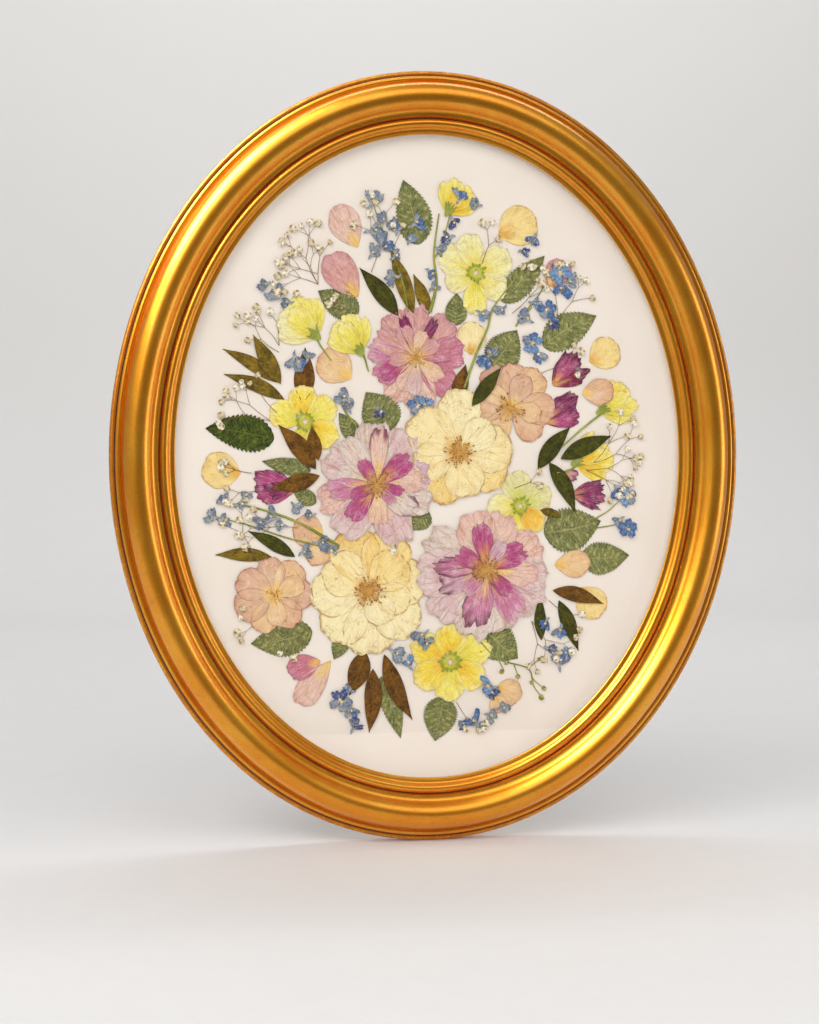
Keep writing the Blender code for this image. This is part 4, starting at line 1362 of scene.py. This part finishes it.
def bouquet_sprays():
    """Thin forking twigs with a crumpled head on every end, all grown from a few sizes."""
    lines, gauges, heads = [], [], []

    def grow(rng, foot, heading, length, share, depth):
        bend = rng.uniform(-14, 14)
        middle = foot + aim(heading) * length * 0.5
        tip = middle + aim(heading + bend) * length * 0.5
        lines.append([on_board(*p, 0.9) for p in (foot, middle, tip)])
        gauges.append((0.26 * share, 0.2 * share))
        if depth == 0:
            heads.append(on_board(tip.x, tip.y, 2.1))
            return
        for side in (-1, 1) if rng.random() < 0.75 else (-1, 0, 1):
            angle = heading + bend + side * rng.uniform(18, 42)
            grow(rng, tip, angle, length * rng.uniform(0.55, 0.85), share * 0.8,
                 0 if rng.random() < 0.3 else depth - 1)

    for x, z, heading, reach, fan, count, seed in SPRAYS:
        rng = random.Random(seed)
        depth = 2 if count > 5 else 1
        feet = max(1, round(count / 5))
        for k in range(feet):
            turn = heading + fan * ((k + 0.5) / feet - 0.5)
            grow(rng, Vector((x, z)), turn, reach * (0.42 if depth == 2 else 0.55), 1.0, depth)
    add_twigs("gypsophila_twigs", lines, gauges, 5, "brown_twig")
    kinds = [bead_mesh(f"head_{k}", 2, srgb(tone), 30 + k)
             for k, tone in enumerate(("#efe2c0", "#e2d2aa", "#f2ead4"))]
    clusters = []
    for k, mesh in enumerate(kinds):
        shape = hidden_shape(f"head_shape_{k}", mesh)
        points = bpy.data.meshes.new("points")
        points.from_pydata(heads[k::3], [], [])
        cluster = add_piece(f"heads_{k}", points)
        SCATTER.run(cluster, Shape=shape, Small=4.2 * MM, Large=6.2 * MM, Tilt=0.35, Seed=40 + k,
                    Material=MATERIALS["breath"])
        clusters.append(cluster)
        bpy.data.objects.remove(shape)
    hand_over(joined("gypsophila_heads", clusters), "florets_white")
    buds = bpy.data.meshes.new("points")
    places = [(56, -167), (69, -171), (86, -158), (80, -176), (90, -181), (88, -188), (60, -160)]
    buds.from_pydata([on_board(x, z, 0.9) for x, z in places], [], [])
    green = hidden_shape("bud_shape", bead_mesh("bud", 2, srgb("#a8a04c"), 50, "#7c6c34"))
    piece = add_piece("green_buds", buds)
    SCATTER.run(piece, Shape=green, Small=3.2 * MM, Large=4.6 * MM, Tilt=0.6, Seed=51,
                Material=MATERIALS["breath"])
    bpy.data.objects.remove(green)
    hand_over(piece, "stems")


# ---------------------------------------------------------------- stage


def add_stage():
    """Pale floor that turns up into a pale wall."""
    floor = cad_low.z
    front, bend, radius, steps, height, half = -0.6, 2.1, 0.6, 16, 4.0, 3.6
    section = [(front, floor), (bend, floor)]
    for k in range(1, steps + 1):
        turn = math.pi / 2 * k / steps
        section.append((bend + radius * math.sin(turn), floor + radius - radius * math.cos(turn)))
    section.append((bend + radius, floor + height))
    points = [(x, y, z) for x in (-half, half) for y, z in section]
    count = len(section)
    faces = [(i, i + count, i + count + 1, i + 1) for i in range(count - 1)]
    mesh = bpy.data.meshes.new("studio")
    mesh.from_pydata(points, [], faces)
    mesh.shade_smooth()
    f = Finish("studio_paper", Roughness=0.7, Specular_IOR_Level=0.2)
    grain = f.noise(f.place((0.05, 0.05, 0.05)), 1.0, 3)
    above = f.split(f.make("TexCoord", {}, "Object"))[2]
    wall = f.span(above, floor + 0.02, floor + 0.5)
    paper = f.mix(grain, srgb("#f0f0ef"), srgb("#edecec"))
    f.coat = f.mix(wall, paper, srgb("#eceae8"))
    mesh.materials.append(f.done())
    add_piece("studio", mesh)


def add_lamp(name, place, target, size, power, roll=0.0):
    lamp = bpy.data.lights.new(name, "AREA")
    lamp.shape = "RECTANGLE"
    lamp.size, lamp.size_y = size
    lamp.energy = power
    holder = add_piece(name, lamp)
    holder.location = place
    turn = (Vector(target) - Vector(place)).to_track_quat("-Z", "Y")
    holder.rotation_euler = (turn @ Quaternion((0, 0, 1), math.radians(roll))).to_euler()
    return holder


def add_light():
    center = Vector((0, 0, MIDDLE.z))
    add_lamp("key_softbox", (-1.15, -1.3, 0.9), center, (0.9, 1.3), 15, 38)
    gilding = add_lamp("gilding_softbox", (-1.2, -0.5, 1.2), center, (1.1, 1.1), 66)
    gilding.visible_diffuse = False
    gilded = bpy.data.collections.new("gilded")
    gilded.objects.link(bpy.data.objects["gilded_moulding"])
    gilding.light_linking.receiver_collection = gilded
    add_lamp("top_softbox", (0.2, -1.6, 1.3), center, (1.8, 1.3), 10)
    add_lamp("right_softbox", (1.75, -0.7, -0.1), center, (0.6, 1.4), 7)
    fill = add_lamp("front_fill", (-0.1, -2.4, -0.1), center, (2.2, 2.2), 29)
    fill.visible_glossy = fill.visible_transmission = False
    add_lamp("wall_wash", (0.5, 1.0, 2.2), (0.5, 2.6, 0.0), (3.0, 0.6), 32)
    world = bpy.data.worlds.new("soft_room")
    bpy.context.scene.world = world
    world.use_nodes = True
    tree = world.node_tree
    # The room is dimmer on the side that faces the glass.
    facing = tree.nodes.new("ShaderNodeSeparateXYZ")
    level = tree.nodes.new("ShaderNodeMapRange")
    tree.links.new(tree.nodes.new("ShaderNodeTexCoord").outputs["Generated"], facing.inputs[0])
    tree.links.new(facing.outputs["Y"], level.inputs["Value"])
    levels = {"From Min": -1.0, "From Max": -0.4, "To Min": 0.13, "To Max": 0.32}
    for key, value in levels.items():
        level.inputs[key].default_value = value
    tree.links.new(level.outputs[0], tree.nodes["Background"].inputs["Strength"])
    tree.nodes["Background"].inputs["Color"].default_value = (1.0, 0.99, 0.98, 1.0)


# Where the camera is: turn and tilt in degrees, then metres.
CAMERA_TURN, CAMERA_TILT = 10.504, -1.514
CAMERA_RIGHT, CAMERA_UP, CAMERA_BACK = -0.01512, -0.04242, 1.5


def add_camera():
    """Camera a metre and a half away, a little to the left, level with the flowers."""
    azimuth, tilt = math.radians(CAMERA_TURN), math.radians(CAMERA_TILT)
    right = Vector((math.cos(azimuth), -math.sin(azimuth), 0))
    back = Vector((-math.sin(azimuth) * math.cos(tilt), -math.cos(azimuth) * math.cos(tilt),
                   -math.sin(tilt)))
    up = back.cross(right)
    camera = bpy.data.cameras.new("camera")
    camera.sensor_width = 36
    camera.lens = 67.8
    holder = add_piece("camera", camera)
    turn = Matrix((right, up, back)).transposed().to_4x4()
    place = Vector((0, 0, MIDDLE.z)) + right * CAMERA_RIGHT + up * CAMERA_UP + back * CAMERA_BACK
    holder.matrix_world = Matrix.Translation(place) @ turn
    bpy.context.scene.camera = holder


bpy.context.scene.view_settings.view_transform = "Standard"
add_camera()
paint_nodes()
add_moulding()
bouquet_leaves()
bouquet_petals()
bouquet_greens()
bouquet_stalks()
bouquet_florets()
bouquet_sprays()
add_stamens("rose_stamens", [
    (44, -87, 13, 8.5, 44, 2.75, 61), (-43, -21, 12.5, 7, 40, 2.7, 62),
    (-12, 77, 8, 3, 22, 1.7, 63), (22, 4, 13, 8, 44, 1.95, 64), (-48, -103, 13, 9, 44, 1.6, 65),
    (63, 39, 13, 4, 34, 1.1, 66), (-122, -105, 7, 4, 20, 0.95, 67),
])
bpy.data.objects.remove(STAMEN)
add_stage()
add_light()
